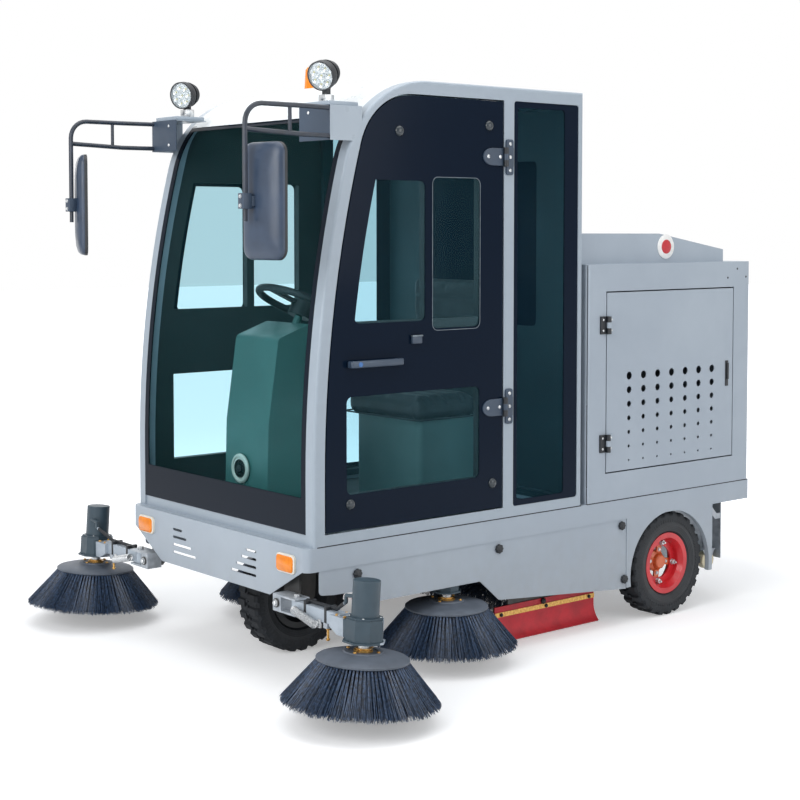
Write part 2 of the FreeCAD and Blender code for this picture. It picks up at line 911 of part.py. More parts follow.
def arm_hanger():
    """The plate on the front tube, with the pin that the brush arm lifts about."""
    outline = [(arm_pin_x - hanger_half, frame_top), (arm_pin_x - hanger_half, arm_pin_z),
               (arm_pin_x - hanger_half / 2, arm_pin_z - hanger_half / 2),
               (arm_pin_x + hanger_half / 2, arm_pin_z - hanger_half / 2),
               (arm_pin_x + hanger_half, arm_pin_z), (arm_pin_x + hanger_half, frame_top)]
    plate = front_plate(outline, -hanger_plate, 0)
    reach = hanger_plate + bracket_wide + 2 * hanger_gap
    pin = rod(arm_pin, reach, place(arm_pin_x, 0, arm_pin_z), -Y_AXIS)
    cap = rod(arm_pin * pin_cap_share, hanger_plate / 2, place(arm_pin_x, -reach, arm_pin_z), -Y_AXIS)
    return plate.fuse([pin, cap])


def mid_hanger():
    """Two cheeks and a pin that carry a middle brush arm."""
    cheeks = []
    for side in (-1, 1):
        inner = mid_brush_x + side * (mid_eye / 2 + hanger_gap)
        outer = inner + side * mid_cheek
        x0, x1 = sorted((inner, outer))
        cheek = side_plate([(mid_pivot_y - mid_eye / 2, frame_low), (mid_pivot_y - mid_eye / 2,
                                                                     mid_pivot_z),
                            (mid_pivot_y, mid_pivot_z - mid_eye / 2), (mid_pivot_y + mid_eye / 2,
                                                                       mid_pivot_z),
                            (mid_pivot_y + mid_eye / 2, frame_low)], x0, x1)
        cheeks.append(cheek)
    length = mid_eye + 2 * hanger_gap + 2 * mid_cheek
    pin = rod(arm_pin, length, place(mid_brush_x - length / 2, mid_pivot_y, mid_pivot_z), X_AXIS)
    return pin.fuse(cheeks)


def bin_runner():
    end = body_length - flange - moving_gap
    leg = box(runner_x, runner_x + runner_leg, bin_front, end, runner_z, runner_z + sheet)
    web = box(runner_x + runner_leg, runner_x + runner_leg + sheet, bin_front, end, runner_z, frame_low)
    return leg.fuse(web)


def chassis_rails():
    rail = box(rail_centre - tube_wide / 2, rail_centre + tube_wide / 2, 0, body_length - sheet, frame_low,
               frame_top)
    return both_sides(rail)


def chassis_frame():
    """The cross tubes between and beside the rails, and the beam with the steering head."""
    crosses = [box(-half + sheet, half - sheet, y, y + tube_wide, frame_low,
                   frame_top) for y in cross_stations]
    beam = box(-rail_centre, rail_centre, head_y - head_beam_half, head_y + head_beam_half,
               frame_top - tube_tall * head_beam_share, frame_top)
    head = rod(head_radius, tube_tall, place(0, head_y, frame_low), Z_AXIS)
    bore = rod(stem_radius + running, tube_tall * 2, place(0, head_y, frame_low - tube_tall / 2), Z_AXIS)
    beam = solid_of(beam.fuse(head).cut(bore))
    return Part.makeCompound(crosses + [beam]).cut(chassis_rails())


def chassis_brackets():
    return Part.makeCompound([both_sides(solid_of(piece)) for piece in
                              (stub_axle(), arm_hanger(), mid_hanger(), bin_runner())])


stub_end = rear_tyre_out - hub_recess
export("chassis_rails", chassis_rails())
export("chassis_frame", chassis_frame())
export("chassis_brackets", chassis_brackets())
export("cab_floor", box(-half + flange, half - flange, 0, body_length - flange, frame_top, deck_height))


# Steering fork and front wheel, which is the driven wheel with its hub motor.

def steering_fork():
    stem_top = frame_top - sheet
    crown_low = 2 * wheel_radius + moving_gap
    crown_high = frame_low - moving_gap
    stem = rod(stem_radius, stem_top - crown_low, place(0, head_y, crown_low), Z_AXIS)
    crown = box(-fork_half - fork_plate, fork_half + fork_plate, head_y - fork_blade,
                front_wheel_y + fork_blade,
                crown_low, crown_high)
    tip = fork_blade * fork_tip_share
    blade = side_plate([(head_y - fork_blade, crown_high), (front_wheel_y - tip, wheel_radius),
                        (front_wheel_y, wheel_radius - tip), (front_wheel_y + tip, wheel_radius),
                        (front_wheel_y + fork_blade, crown_high)], fork_half, fork_half + fork_plate)
    axle = rod(axle_radius, 2 * (fork_half + fork_plate), place(-fork_half - fork_plate, front_wheel_y,
                                                                wheel_radius),
               X_AXIS)
    return solid_of(stem.fuse([crown, blade, other_side(blade), axle]))


def lug_ring(reach, x, centre):
    """One closed section through the lugs: a toothed outline in a plane of constant X."""
    low = reach - lug_depth
    step = 2 * math.pi / lug_count
    points = []
    for n in range(lug_count):
        for share, radius in zip(lug_step_shares, (reach, reach, low, low)):
            angle = (n + share) * step
            points.append(V(x, centre.y + radius * math.cos(angle), centre.z + radius * math.sin(angle)))
    return Part.makePolygon(points + points[:1])


def tyre(width, x_mid, y):
    """A tyre with two rows of shoulder lugs, half a step apart."""
    w = width / 2
    depth = wheel_radius - bead_radius
    centre = place(x_mid, y, wheel_radius)
    outline = [V(x_mid + a * w, centre.y, centre.z + bead_radius + b * depth)
               for a, b in tyre_shares + tuple((-a, b) for a, b in reversed(tyre_shares))]
    carcass = revolve(outline, centre, X_AXIS)
    core = rod(bead_radius + lug_root_share * depth, 2 * width, place(x_mid - width, y, wheel_radius),
               X_AXIS)
    for side in (-1, 1):
        stations = ((lug_inner_share, 0), (lug_outer_share, 0), (lug_edge_share, shoulder_drop))
        rings = [lug_ring(wheel_radius - drop, x_mid + side * share * w, centre) for share,
                 drop in stations]
        row = Part.makeLoft(rings, True, True).cut(core)
        if side > 0:
            row.rotate(centre, X_AXIS, 180 / lug_count)
        carcass = carcass.fuse(row)
    return carcass


def rim_outline(w, hub_points):
    """The pressed rim as (x, radius) points; hub_points run from the disc's inner face to its outer one."""
    seat = bead_radius - seat_gap
    well = seat - rim_well
    mid = w * well_share
    return ([(-w, rim_flange_radius), (-w, seat - rim_wall), (-mid, well), (-rim_wall, well)] + hub_points
            + [(rim_wall, well), (mid, well), (w, seat - rim_wall), (w, rim_flange_radius),
               (w - rim_flange, rim_flange_radius), (w - rim_flange, seat), (mid, well + rim_wall),
               (-mid, well + rim_wall), (-w + rim_flange, seat), (-w + rim_flange, rim_flange_radius)])


def turned_about_axle(outline_xr, x_mid, y):
    points = [V(x_mid + x, cab_front + y, wheel_radius + r) for x, r in outline_xr]
    return revolve(points, place(x_mid, y, wheel_radius), X_AXIS)


def front_wheel():
    """A rim with a closed disc and the long hub of the drive motor."""
    w = front_tyre_width * seat_width_share / 2 + rim_flange
    back = -w * hub_back_share
    bore = axle_radius + running
    hub = [(-rim_wall, hub_radius), (back, hub_radius), (back, bore), (hub_nose, bore), (hub_nose,
                                                                                         hub_radius),
           (rim_wall, hub_radius + rim_wall)]
    return turned_about_axle(rim_outline(w, hub), 0, front_wheel_y)


def rear_wheel():
    """A rim with an open disc, which is bolted to the four-armed spider of the hub."""
    w = tyre_width * seat_width_share / 2 + rim_flange
    rim = turned_about_axle(rim_outline(w, [(-rim_wall, disc_opening), (rim_wall, disc_opening)]),
                            rear_mid, rear_wheel_y)
    back = -w * hub_back_share
    bore = stub_radius + running
    hollow_end = stub_end + hub_end_gap - rear_mid
    nose = hollow_end + hub_cap
    hub = turned_about_axle([(back, bore), (back, hub_radius), (-rim_wall - spider_thick, hub_radius),
                             (-rim_wall, hub_nose_radius + rim_wall), (nose - hub_cap, hub_nose_radius),
                             (nose, hub_nose_radius - hub_cap), (nose, 0), (hollow_end, 0), (hollow_end,
                                                                                             bore)],
                            rear_mid, rear_wheel_y)
    arms = []
    for n in range(spider_arms):
        arm = box(rear_mid - rim_wall - spider_thick, rear_mid - rim_wall, rear_wheel_y + stub_radius * 2,
                  rear_wheel_y + spider_radius, wheel_radius - spider_arm_wide / 2,
                  wheel_radius + spider_arm_wide / 2)
        arm.rotate(place(rear_mid, rear_wheel_y, wheel_radius), X_AXIS, spider_turn + n * 360 / spider_arms)
        arms.append(arm)
    return solid_of(rim.fuse([hub] + arms))


rear_mid = rear_tyre_out - tyre_width / 2
export("steering_fork", steering_fork())
export("front_wheel", front_wheel())
export("front_tyre", tyre(front_tyre_width, 0, front_wheel_y))
left_wheel = rear_wheel()
left_tyre = tyre(tyre_width, rear_mid, rear_wheel_y)
for side, turn in (("left", lambda s: s), ("right", other_side)):
    export("rear_wheel_" + side, turn(left_wheel))
    export("rear_tyre_" + side, turn(left_tyre))


# Side brushes, each under a geared motor on its arm.

def tilted(shape):
    """Lean a piece of the front brush about its middle, front edge up."""
    leaned = shape.copy()
    leaned.rotate(place(front_brush_x, -front_brush_lead, tilt_height), X_AXIS, -brush_tilt)
    return leaned


def eight_sided(x, y, reach, low, tall):
    """A block whose plan is a square with its corners cut off."""
    short = reach * head_corner_share
    ring = [(a * reach, b * short) if wide else (a * short, b * reach)
            for a, b, wide in ((1, -1, True), (1, 1, True), (1, 1, False), (-1, 1, False),
                               (-1, 1, True), (-1, -1, True), (-1, -1, False), (1, -1, False))]
    return prism([place(x + a, y + b, low) for a, b in ring], V(0, 0, tall))


def brush_head(x, y, case_half, radius):
    """The geared motor over a side brush: gear case on its plate, and a round motor on its flange."""
    case = eight_sided(x, y, case_half, gear_low, gear_height)
    plate = eight_sided(x, y, case_half + gear_plate_rim, gear_low, gear_plate)
    top = gear_low + gear_height
    flange = eight_sided(x, y, min(radius + motor_flange, case_half), top, motor_flange_thick)
    motor = rod(radius, motor_height, place(x, y, top), Z_AXIS)
    crown = [e for e in motor.Edges if e.BoundBox.ZMin > top + motor_height - seat_gap]
    return case.fuse([plate, flange, motor.makeFillet(motor_round, crown)])


def side_brush(x, y):
    """A side brush: its disc and the flared ring of bristles, turned about the shaft."""
    top = gear_low - shaft_show
    low = top - disc_height
    tip = bristle_low
    ring_top = top + coupling_ring_height
    outline_rz = [(0, low), (disc_radius - bristle_root, low), (bristle_radius - bristle_tip, tip),
                  (bristle_radius, tip), (disc_radius, low), (disc_radius, low + disc_height / 2),
                  (disc_radius * disc_top_share, top), (coupling_ring, top), (coupling_ring, ring_top),
                  (coupling_radius, ring_top), (coupling_radius, gear_low - hanger_gap),
                  (0, gear_low - hanger_gap)]
    outline = [place(x + r, y, z) for r, z in outline_rz]
    return revolve(outline, place(x, y, 0), Z_AXIS)


def arm_bracket():
    """The channel that lifts about the hanger's pin and holds the upright swing pin."""
    y0 = arm_y - bracket_wide / 2
    y1 = arm_y + bracket_wide / 2
    x0 = arm_pin_x - bracket_back
    x1 = arm_pin_x + bracket_length
    z0 = arm_pin_z - bracket_tall / 2
    z1 = arm_pin_z + bracket_tall / 2
    block = box(x0, x1, y0, y1, z0, z1)
    block = block.cut(box(arm_pin_x + bracket_back, x1 + overrun, y0 - overrun, y1 + overrun,
                          z0 + bracket_sheet, z1 - bracket_sheet))
    block = block.cut(rod(arm_pin + running, bracket_wide * 2, place(arm_pin_x, y0 - overrun, arm_pin_z),
                          Y_AXIS))
    pin = rod(swing_pin, bracket_tall, place(swing_x, arm_y, z0), Z_AXIS)
    return solid_of(block.fuse(pin))


def arm_cable_run():
    """The motor's cable: along the top of the arm tube, then up the side of the motor."""
    top = arm_pin_z + arm_tube / 2 + arm_cable + cable_stand
    start = arm_pin_x + bracket_length + cable_lead
    side = arm_y - motor_radius * cable_side_share
    motor_side = front_brush_x - motor_radius - 2 * arm_cable
    gland = gear_low + gear_height + motor_height * cable_side_share
    return tube_run([place(start, arm_y, arm_pin_z + arm_tube / 2 - cable_stand),
                     place(start + 2 * arm_cable, arm_y, top), place(elbow_x - arm_tube, arm_y, top),
                     place(motor_side, side, top + arm_tube), place(motor_side, side, gland),
                     place(front_brush_x, side, gland + arm_cable)], arm_cable)


def brush_arm():
    inner_tall = bracket_tall - 2 * bracket_sheet - 2 * hanger_gap
    z0 = arm_pin_z - inner_tall / 2
    eye = rod(eye_radius, inner_tall, place(swing_x, arm_y, z0), Z_AXIS)
    tube = box(swing_x, elbow_x, arm_y - arm_tube / 2, arm_y + arm_tube / 2, arm_pin_z - arm_tube / 2,
               arm_pin_z + arm_tube / 2)
    shoe_low = gear_low + elbow_rise
    shoe_high = gear_low + gear_height - elbow_rise
    shoe_end = front_brush_x - gear_half * elbow_end_share
    shoe_outline = [(elbow_x - arm_tube, shoe_high), (elbow_x - arm_tube, arm_pin_z - arm_tube / 2),
                    (elbow_x, shoe_low), (shoe_end, shoe_low), (shoe_end, shoe_high)]
    shoe = front_plate(shoe_outline, arm_y - elbow_half, arm_y + elbow_half)
    lug_z = arm_pin_z - arm_tube / 2 - spring_lug_drop
    lug = box(elbow_x - arm_tube - 2 * spring_lug, elbow_x - arm_tube, arm_y - spring_lug / 2,
              arm_y + spring_lug / 2,
              lug_z, arm_pin_z)
    head = tilted(brush_head(front_brush_x, -front_brush_lead, gear_half, motor_radius))
    arm = eye.fuse([tube, shoe, lug, head, arm_cable_run()])
    return solid_of(arm.cut(rod(swing_pin + running, bracket_tall * 2, place(swing_x, arm_y, z0 - overrun),
                                Z_AXIS)))


def mid_arm():
    head = brush_head(mid_brush_x, mid_brush_y, mid_gear_half, mid_motor_radius)
    eye = rod(mid_eye / 2, mid_eye, place(mid_brush_x - mid_eye / 2, mid_pivot_y, mid_pivot_z), X_AXIS)
    low = gear_low + gear_height * mid_beam_share
    beam = side_plate([(mid_brush_y + mid_gear_half / 2, low), (mid_pivot_y, mid_pivot_z - mid_eye / 2),
                       (mid_pivot_y, mid_pivot_z + mid_eye / 2), (mid_brush_y + mid_gear_half / 2,
                                                                  low + mid_eye)],
                      mid_brush_x - mid_eye / 2, mid_brush_x + mid_eye / 2)
    arm = head.fuse([eye, beam])
    return solid_of(arm.cut(rod(arm_pin + running, mid_eye * 2, place(mid_brush_x - mid_eye, mid_pivot_y,
                                                                      mid_pivot_z),
                                X_AXIS)))


for side, turn in (("left", lambda s: s), ("right", other_side)):
    export("arm_bracket_" + side, turn(arm_bracket()))
    export("brush_arm_" + side, turn(brush_arm()))
    export("front_brush_" + side, turn(tilted(side_brush(front_brush_x, -front_brush_lead))))
    export("mid_arm_" + side, turn(mid_arm()))
    export("mid_brush_" + side, turn(side_brush(mid_brush_x, mid_brush_y)))


# Main brush, its tunnel and the rubber skirts beside it.

def main_brush():
    centre = place(-main_brush_half, main_brush_y, main_brush_z)
    roller = rod(main_brush_radius, 2 * main_brush_half, centre, X_AXIS)
    shaft_half = tunnel_side + sheet * 2
    shaft = rod(main_shaft, 2 * shaft_half, place(-shaft_half, main_brush_y, main_brush_z), X_AXIS)
    return solid_of(roller.fuse(shaft))


def brush_housing():
    outer = main_brush_radius + tunnel_gap
    centre = place(-tunnel_side, main_brush_y, main_brush_z)
    hood = pipe(outer + sheet, outer, 2 * tunnel_side, centre, X_AXIS)
    hood = hood.common(box(-tunnel_side, tunnel_side, main_brush_y - outer - overrun,
                           main_brush_y + outer + overrun,
                           main_brush_z, main_brush_z + outer + overrun))
    cheek_outline = [(main_brush_y - outer - sheet, frame_low), (main_brush_y - outer - sheet, flap_high),
                     (flap_front, flap_high), (flap_front, tunnel_low), (flap_rear, tunnel_low),
                     (flap_rear, flap_high), (main_brush_y + outer + sheet, flap_high),
                     (main_brush_y + outer + sheet, frame_low)]
    cheek = side_plate(cheek_outline, tunnel_side, tunnel_side + 2 * sheet)
    cheek = cheek.cut(rod(main_shaft + running, overrun * 2, place(tunnel_side - overrun / 2, main_brush_y,
                                                                   main_brush_z),
                          X_AXIS))
    return solid_of(hood.fuse([cheek, other_side(cheek)]))


def rubber_skirt():
    """A rubber strip that hangs straight from its clamp and turns outwards at the floor."""
    x0 = tunnel_side + 2 * sheet
    turn = math.asin((flap_bend - flap_low) / flap_curve)
    centre = (x0 + flap_curve, flap_bend)

    def at(radius, angle):
        return place(centre[0] - radius * math.cos(angle), flap_front, centre[1] - radius * math.sin(angle))

    inner = flap_curve - flap_thick
    top_in = place(x0, flap_front, flap_high)
    top_out = place(x0 + flap_thick, flap_front, flap_high)
    edges = [line(top_in, at(flap_curve, 0)),
             Part.Arc(at(flap_curve, 0), at(flap_curve, turn / 2), at(flap_curve, turn)).toShape(),
             line(at(flap_curve, turn), at(inner, turn)),
             Part.Arc(at(inner, turn), at(inner, turn / 2), at(inner, 0)).toShape(),
             line(at(inner, 0), top_out),
             line(top_out, top_in)]
    return Part.Face(Part.Wire(edges)).extrude(V(0, flap_rear - flap_front, 0))


def skirt_clamp():
    x0 = tunnel_side + 2 * sheet + flap_thick
    high = flap_high - clamp_drop
    return box(x0, x0 + sheet, flap_front, flap_rear, high - clamp_wide, high)


export("main_brush", main_brush())
export("brush_housing", brush_housing())
export("rubber_skirts", both_sides(rubber_skirt()))
export("skirt_clamps", both_sides(skirt_clamp()))


# Dust bin, which draws out rearwards on its runners, and its two rear casters.

def dust_bin():
    tub = box(-bin_half, bin_half, bin_front, bin_rear, bin_low, runner_z + sheet + seat_gap + bin_wall)
    inside = box(-bin_half + bin_wall, bin_half - bin_wall, bin_front + bin_wall, bin_rear - bin_wall,
                 bin_low + bin_wall, bin_top + overrun)
    mouth = box(-bin_half + bin_wall, bin_half - bin_wall, bin_front - overrun, bin_front + overrun,
                bin_low + mouth_rise, bin_top + overrun)
    lip_z = runner_z + sheet + seat_gap
    lip = box(bin_half, bin_lip, bin_front, bin_rear, lip_z, lip_z + bin_wall)
    face = box(-face_half, face_half, bin_rear, bin_rear + bin_wall, bin_low, bin_top)
    bar_low = bin_top - bar_drop
    bar = box(-handle_half, handle_half, bin_rear + handle_reach, bin_rear + handle_reach + bin_wall * 2,
              bar_low, bar_low + bar_tall)
    post = box(handle_half - 2 * bin_wall, handle_half, bin_rear + bin_wall, bin_rear + handle_reach,
               bar_low, bar_low + bar_tall)
    body = tub.cut(inside).cut(mouth).fuse([lip, other_side(lip), face, bar, post, other_side(post)])
    for piece in (caster_fork(), bin_latch()):
        body = body.fuse([piece, other_side(piece)])
    return solid_of(body)


def caster_fork():
    gap = caster_width / 2 + caster_side_gap
    top = caster_z + caster_radius + moving_gap
    plate = box(caster_x - gap - bin_wall, caster_x + gap + bin_wall, caster_y - caster_radius,
                bin_rear, top, top + bin_wall)
    cheek = side_plate([(caster_y - caster_radius, top + bin_wall), (caster_y - 2 * caster_axle, caster_z),
                        (caster_y, caster_z - 2 * caster_axle), (caster_y + 2 * caster_axle, caster_z),
                        (caster_y + caster_radius, top + bin_wall)], gap + caster_x,
                       gap + caster_x + bin_wall)
    far = cheek.translated(V(-2 * gap - bin_wall, 0, 0))
    axle = rod(caster_axle, 2 * (gap + bin_wall), place(caster_x - gap - bin_wall, caster_y, caster_z),
               X_AXIS)
    return plate.fuse([cheek, far, axle])


def bin_latch():
    """The bent strap from the bin's face to the tail."""
    outline = [(bin_rear - latch_length + y * latch_length, deck_height - latch_drop + z * latch_tall)
               for y, z in latch_shares]
    return side_plate(outline, face_half - bin_wall, face_half)


def caster_wheel():
    bore = caster_axle + running
    wheel = pipe(caster_radius, bore, caster_width, place(caster_x - caster_width / 2, caster_y, caster_z),
                 X_AXIS)
    rims = [e for e in wheel.Edges if e.Length > 2 * math.pi * caster_radius * rim_edge_share]
    return wheel.makeFillet(bin_wall, rims)


export("dust_bin", dust_bin())
for side, turn in (("left", lambda s: s), ("right", other_side)):
    export("bin_caster_" + side, turn(caster_wheel()))


# Equipment box with its two service doors, the tank cover above and the battery inside.

def equipment_box():
    outer = rounded_block(-half, half, box_front_y, body_length, deck_height, box_height, body_corner / 2,
                          Z_AXIS)
    inner = box(-half + sheet, half - sheet, box_front_y + sheet, body_length - sheet, deck_height + sheet,
                box_height - sheet)
    hole = box(-half - overrun, half + overrun, service_front, service_rear, service_low, service_high)
    return outer.cut(inner).cut(hole)


def service_door():
    y0 = service_front + moving_gap
    y1 = service_rear - moving_gap
    z0 = service_low + moving_gap
    z1 = service_high - moving_gap
    plate = box(half - sheet, half, y0, y1, z0, z1)
    rim = box(half - service_depth, half, y0, y1, z0, z1)
    rim = rim.cut(box(half - service_depth - overrun, half, y0 + sheet, y1 - sheet, z0 + sheet, z1 - sheet))
    vents = []
    for row in range(vent_rows):
        radius = vent_large + (vent_small - vent_large) * row / (vent_rows - 1)
        z = service_low + (vent_first_shares[1] - row * vent_step_shares[1]) * service_tall
        for column in range(vent_rows):
            y = service_front + (vent_first_shares[0] + column * vent_step_shares[0]) * service_length
            ring = [(y + radius * math.cos(n * 2 * math.pi / vent_sides),
                     z + radius * math.sin(n * 2 * math.pi / vent_sides)) for n in range(vent_sides)]
            vents.append(side_plate(ring, half - overrun, half + overrun))
    leaves = [service_hinge(level, True) for level in service_levels]
    return solid_of(plate.fuse([rim] + leaves).cut(vents))


def tank_cover():
    def shape(inset):
        outline = [(box_front_y + inset, box_height + inset), (box_front_y + inset, cover_top - inset),
                   (cover_break, cover_top - inset), (cover_rear - inset, cover_low - inset),
                   (cover_rear - inset, box_height + inset)]
        x = half - cover_inset - inset
        return side_plate(outline, -x, x)
    return shape(0).cut(shape(cover_wall))


def service_hinge(level, on_door):
    """A butt hinge: the fixed leaf with the pin, or the leaf on the door."""
    axis_y = service_front + moving_gap / 2
    axis_x = half + hinge_stand
    height = hinge_height
    x0 = half if on_door else half + seat_gap
    toward = 1 if on_door else -1
    ends = sorted((axis_y, axis_y + toward * service_hinge_half))
    leaf = box(x0, x0 + hinge_leaf, ends[0], ends[1], level - height / 2, level + height / 2)
    leaf = leaf.cut(rod(hinge_knuckle + knuckle_relief, 2 * height, place(axis_x, axis_y, level - height),
                        Z_AXIS))
    third = height / hinge_parts
    if on_door:
        spans = [(-third / 2 + hanger_gap, third / 2 - hanger_gap)]
    else:
        spans = [(-height / 2, -third / 2), (third / 2, height / 2)]
    for low, high in spans:
        knuckle = rod(hinge_knuckle, high - low, place(axis_x, axis_y, level + low), Z_AXIS)
        web_ends = sorted((axis_y, axis_y + toward * (hinge_knuckle + knuckle_web)))
        web = box(x0, x0 + hinge_leaf, web_ends[0], web_ends[1], level + low, level + high)
        leaf = leaf.fuse([knuckle, web])
    if on_door:
        return solid_of(leaf.cut(rod(hinge_pin + running, 2 * height, place(axis_x, axis_y,
                                                                            level - height), Z_AXIS)))
    return solid_of(leaf.fuse(rod(hinge_pin, height, place(axis_x, axis_y, level - height / 2), Z_AXIS)))


export("equipment_box", equipment_box())
export("tank_cover", tank_cover())
export("battery_pack", box(-battery_half, battery_half, battery_front, battery_front + battery_length,
                           deck_height + sheet, deck_height + sheet + battery_tall))
left_posts = [hinge_post(level, b_pillar - moving_gap) for level in door_hinge_levels]
left_posts += [service_hinge(level, False) for level in service_levels]
export("hinge_posts", Part.makeCompound(left_posts + [other_side(p) for p in left_posts]))
for side, turn in (("left", lambda s: s), ("right", other_side)):
    export("service_door_" + side, turn(service_door()))


# Inside the cab: console, hand wheel, seat and pedals.

def column_axis():
    lean = math.radians(hand_wheel_lean)
    return V(0, math.sin(lean), math.cos(lean))


def dash_console():
    outline = [(console_front + y * console_depth, deck_height + z * console_height) for y,
               z in console_shares]
    body = side_plate(outline, -console_half, console_half)
    ridge = [e for e in body.Edges if abs(e.Vertexes[0].X - e.Vertexes[-1].X) > console_half]
    ridge = [e for e in ridge if e.Vertexes[0].Z > deck_height + sheet]
    body = body.makeFillet(window_corner, ridge)
    top = place(0, hand_wheel_y, hand_wheel_z)
    base = top.add(column_axis().multiply(-column_length))
    return solid_of(body.fuse(rod(column_radius, column_length, base, column_axis())))


def hand_wheel():
    top = place(0, hand_wheel_y, hand_wheel_z)
    rim = Part.makeTorus(hand_wheel_radius, hand_wheel_tube, top, column_axis())
    hub_low = top.add(column_axis().multiply(-hub_radius))
    hub = rod(hub_radius, hub_radius + hand_wheel_tube, hub_low, column_axis())
    body = rim.fuse(hub)
    for n in range(hand_wheel_spokes):
        spoke = box(-hand_wheel_tube, hand_wheel_tube, hand_wheel_y, hand_wheel_y + hand_wheel_radius,
                    hand_wheel_z - hand_wheel_tube / 2, hand_wheel_z + hand_wheel_tube / 2)
        spoke.rotate(top, Z_AXIS, n * 360 / hand_wheel_spokes + spoke_turn)
        spoke.rotate(top, X_AXIS, -hand_wheel_lean)
        body = body.fuse(spoke)
    bore_base = top.add(column_axis().multiply(-column_length))
    return solid_of(body.cut(rod(column_radius + running, column_length + seat_gap, bore_base,
                                 column_axis())))


export("dash_console", dash_console())
export("hand_wheel", hand_wheel())


def driver_seat_base():
    return rounded_block(-seat_half + pillar, seat_half - pillar, seat_front + pillar, seat_rear - pillar,
                         deck_height, seat_top, window_corner, Z_AXIS)


def pedals():
    pads = []
    for x in (pedal_x, -pedal_x):
        pad = box(x - pedal_half, x + pedal_half, pedal_y, pedal_y + pedal_plate, pedal_z,
                  pedal_z + 2 * pedal_half)
        pad.rotate(place(x, pedal_y, pedal_z), X_AXIS, -pedal_lean)
        foot_half = pedal_half * pedal_foot_share
        foot = box(x - foot_half, x + foot_half, pedal_y - pedal_half, pedal_y + pedal_foot_behind,
                   deck_height, pedal_z + pedal_foot_rise)
        pads.append(solid_of(pad.fuse(foot)))
    return Part.makeCompound(pads)


export("seat_base", driver_seat_base())
cushion = box(-seat_half, seat_half, seat_front, seat_rear, seat_top + seat_gap, seat_top + cushion_thick)
export("seat_cushion", cushion.makeFillet(window_corner, cushion.Edges))
back = box(-seat_half, seat_half, seat_rear - 2 * pillar, seat_rear - 2 * pillar + back_thick,
           seat_top + cushion_thick + seat_gap, seat_top + cushion_thick + back_height)
export("seat_back", back.makeFillet(window_corner, back.Edges))
export("pedals", pedals())


# Lamps, beacon and mirrors.

def work_lamp():
    shell = rod(lamp_radius, lamp_depth, place(lamp_x, lamp_y - lamp_depth / 2, lamp_z), Y_AXIS)
    stand = box(lamp_x - lamp_stand, lamp_x + lamp_stand, lamp_y - lamp_stand, lamp_y + lamp_stand,
                mirror_bracket_high + seat_gap, lamp_z)
    return solid_of(shell.fuse(stand))


def mirror_bracket():
    """The folded bracket on the corner of the cab: a front plate, a side plate and a shelf."""
    x1 = half
    x0 = lamp_x - lamp_radius
    block = box(x0, x1, bracket_front_y, bracket_front_y + shelf_depth, mirror_bracket_low,
                mirror_bracket_high)
    hollow = box(x0 - overrun, x1 - sheet, bracket_front_y + sheet, bracket_front_y + shelf_depth + overrun,
                 mirror_bracket_low - overrun, mirror_bracket_high - sheet)
    block = block.cut(hollow)
    x_plane = x0 - overrun
    deep = pillar / 2
    inside = extrude_wire(side_outline(deep, corner_radius - deep, cab_height - deep, deck_height,
                                       cab_rear, x_plane), x1 + overrun - x_plane)
    screen = extrude_wire(side_outline(-seat_gap, corner_radius + seat_gap, cab_height + seat_gap,
                                       deck_height,
                                       cab_rear, x_plane), half - pillar - x_plane)
    return block.cut(inside).cut(screen).cut(left_side)


def mirror_arm():
    outer = tube_run([place(post_x - tube_entry, bracket_front_y, top_tube_z),
                      place(post_x, -shelf_depth / 2, top_tube_z),
                      place(post_x, post_y + post_bend_back, top_tube_z),
                      place(post_x, post_y, top_tube_z - post_bend_drop),
                      place(post_x, post_y, post_low + post_end_length)], mirror_tube)
    post_foot = rod(post_end, post_end_length + mirror_tube, place(post_x, post_y, post_low), Z_AXIS)
    lower = tube_run([place(post_x - tube_entry, bracket_front_y, low_tube_z),
                      place(post_x, -shelf_depth / 2, low_tube_z),
                      place(post_x, post_y, low_tube_z + mirror_tube)], mirror_tube)
    brace = rod(brace_radius, top_tube_z - low_tube_z, place(post_x, brace_y, low_tube_z), Z_AXIS)
    return solid_of(mirror_bracket().fuse([outer, lower, brace, post_foot]))


def mirror_head():
    x, y, z = mirror_mid
    head = box(x - mirror_wide / 2, x + mirror_wide / 2, y - mirror_deep / 2, y + mirror_deep / 2,
               z - mirror_tall / 2, z + mirror_tall / 2)
    upright = [e for e in head.Edges if abs(e.Vertexes[0].Y - e.Vertexes[-1].Y) > seat_gap]
    head = head.makeFillet(mirror_deep, upright)
    head = head.makeFillet(mirror_rounding,
                           [e for e in head.Edges if all(v.Y < cab_front + y for v in e.Vertexes)])
    head.rotate(place(x, y, z), Z_AXIS, mirror_yaw)
    clamp = box(post_x - clamp_half, post_x + clamp_half, post_y - clamp_half, y,
                z - clamp_half_tall, z + clamp_half_tall)
    clamp = clamp.cut(rod(mirror_tube + seat_gap / 2, mirror_tall, place(post_x, post_y,
                                                                         z - mirror_tall / 2), Z_AXIS))
    return solid_of(head.fuse(clamp))


def beacon():
    x, y = beacon_place
    base_low = cab_height - roof_crown / 2
    base_top = cab_height + roof_crown + beacon_base
    base = rod(beacon_radius, base_top - base_low, place(x, y, base_low), Z_AXIS).cut(roof_solid())
    base = max(base.Solids, key=lambda s: s.BoundBox.ZMax)
    dome = Part.makeCone(beacon_radius - sheet, beacon_radius - dome_taper, beacon_tall - beacon_base,
                         place(x, y, base_top), Z_AXIS)
    return solid_of(base.fuse(dome))


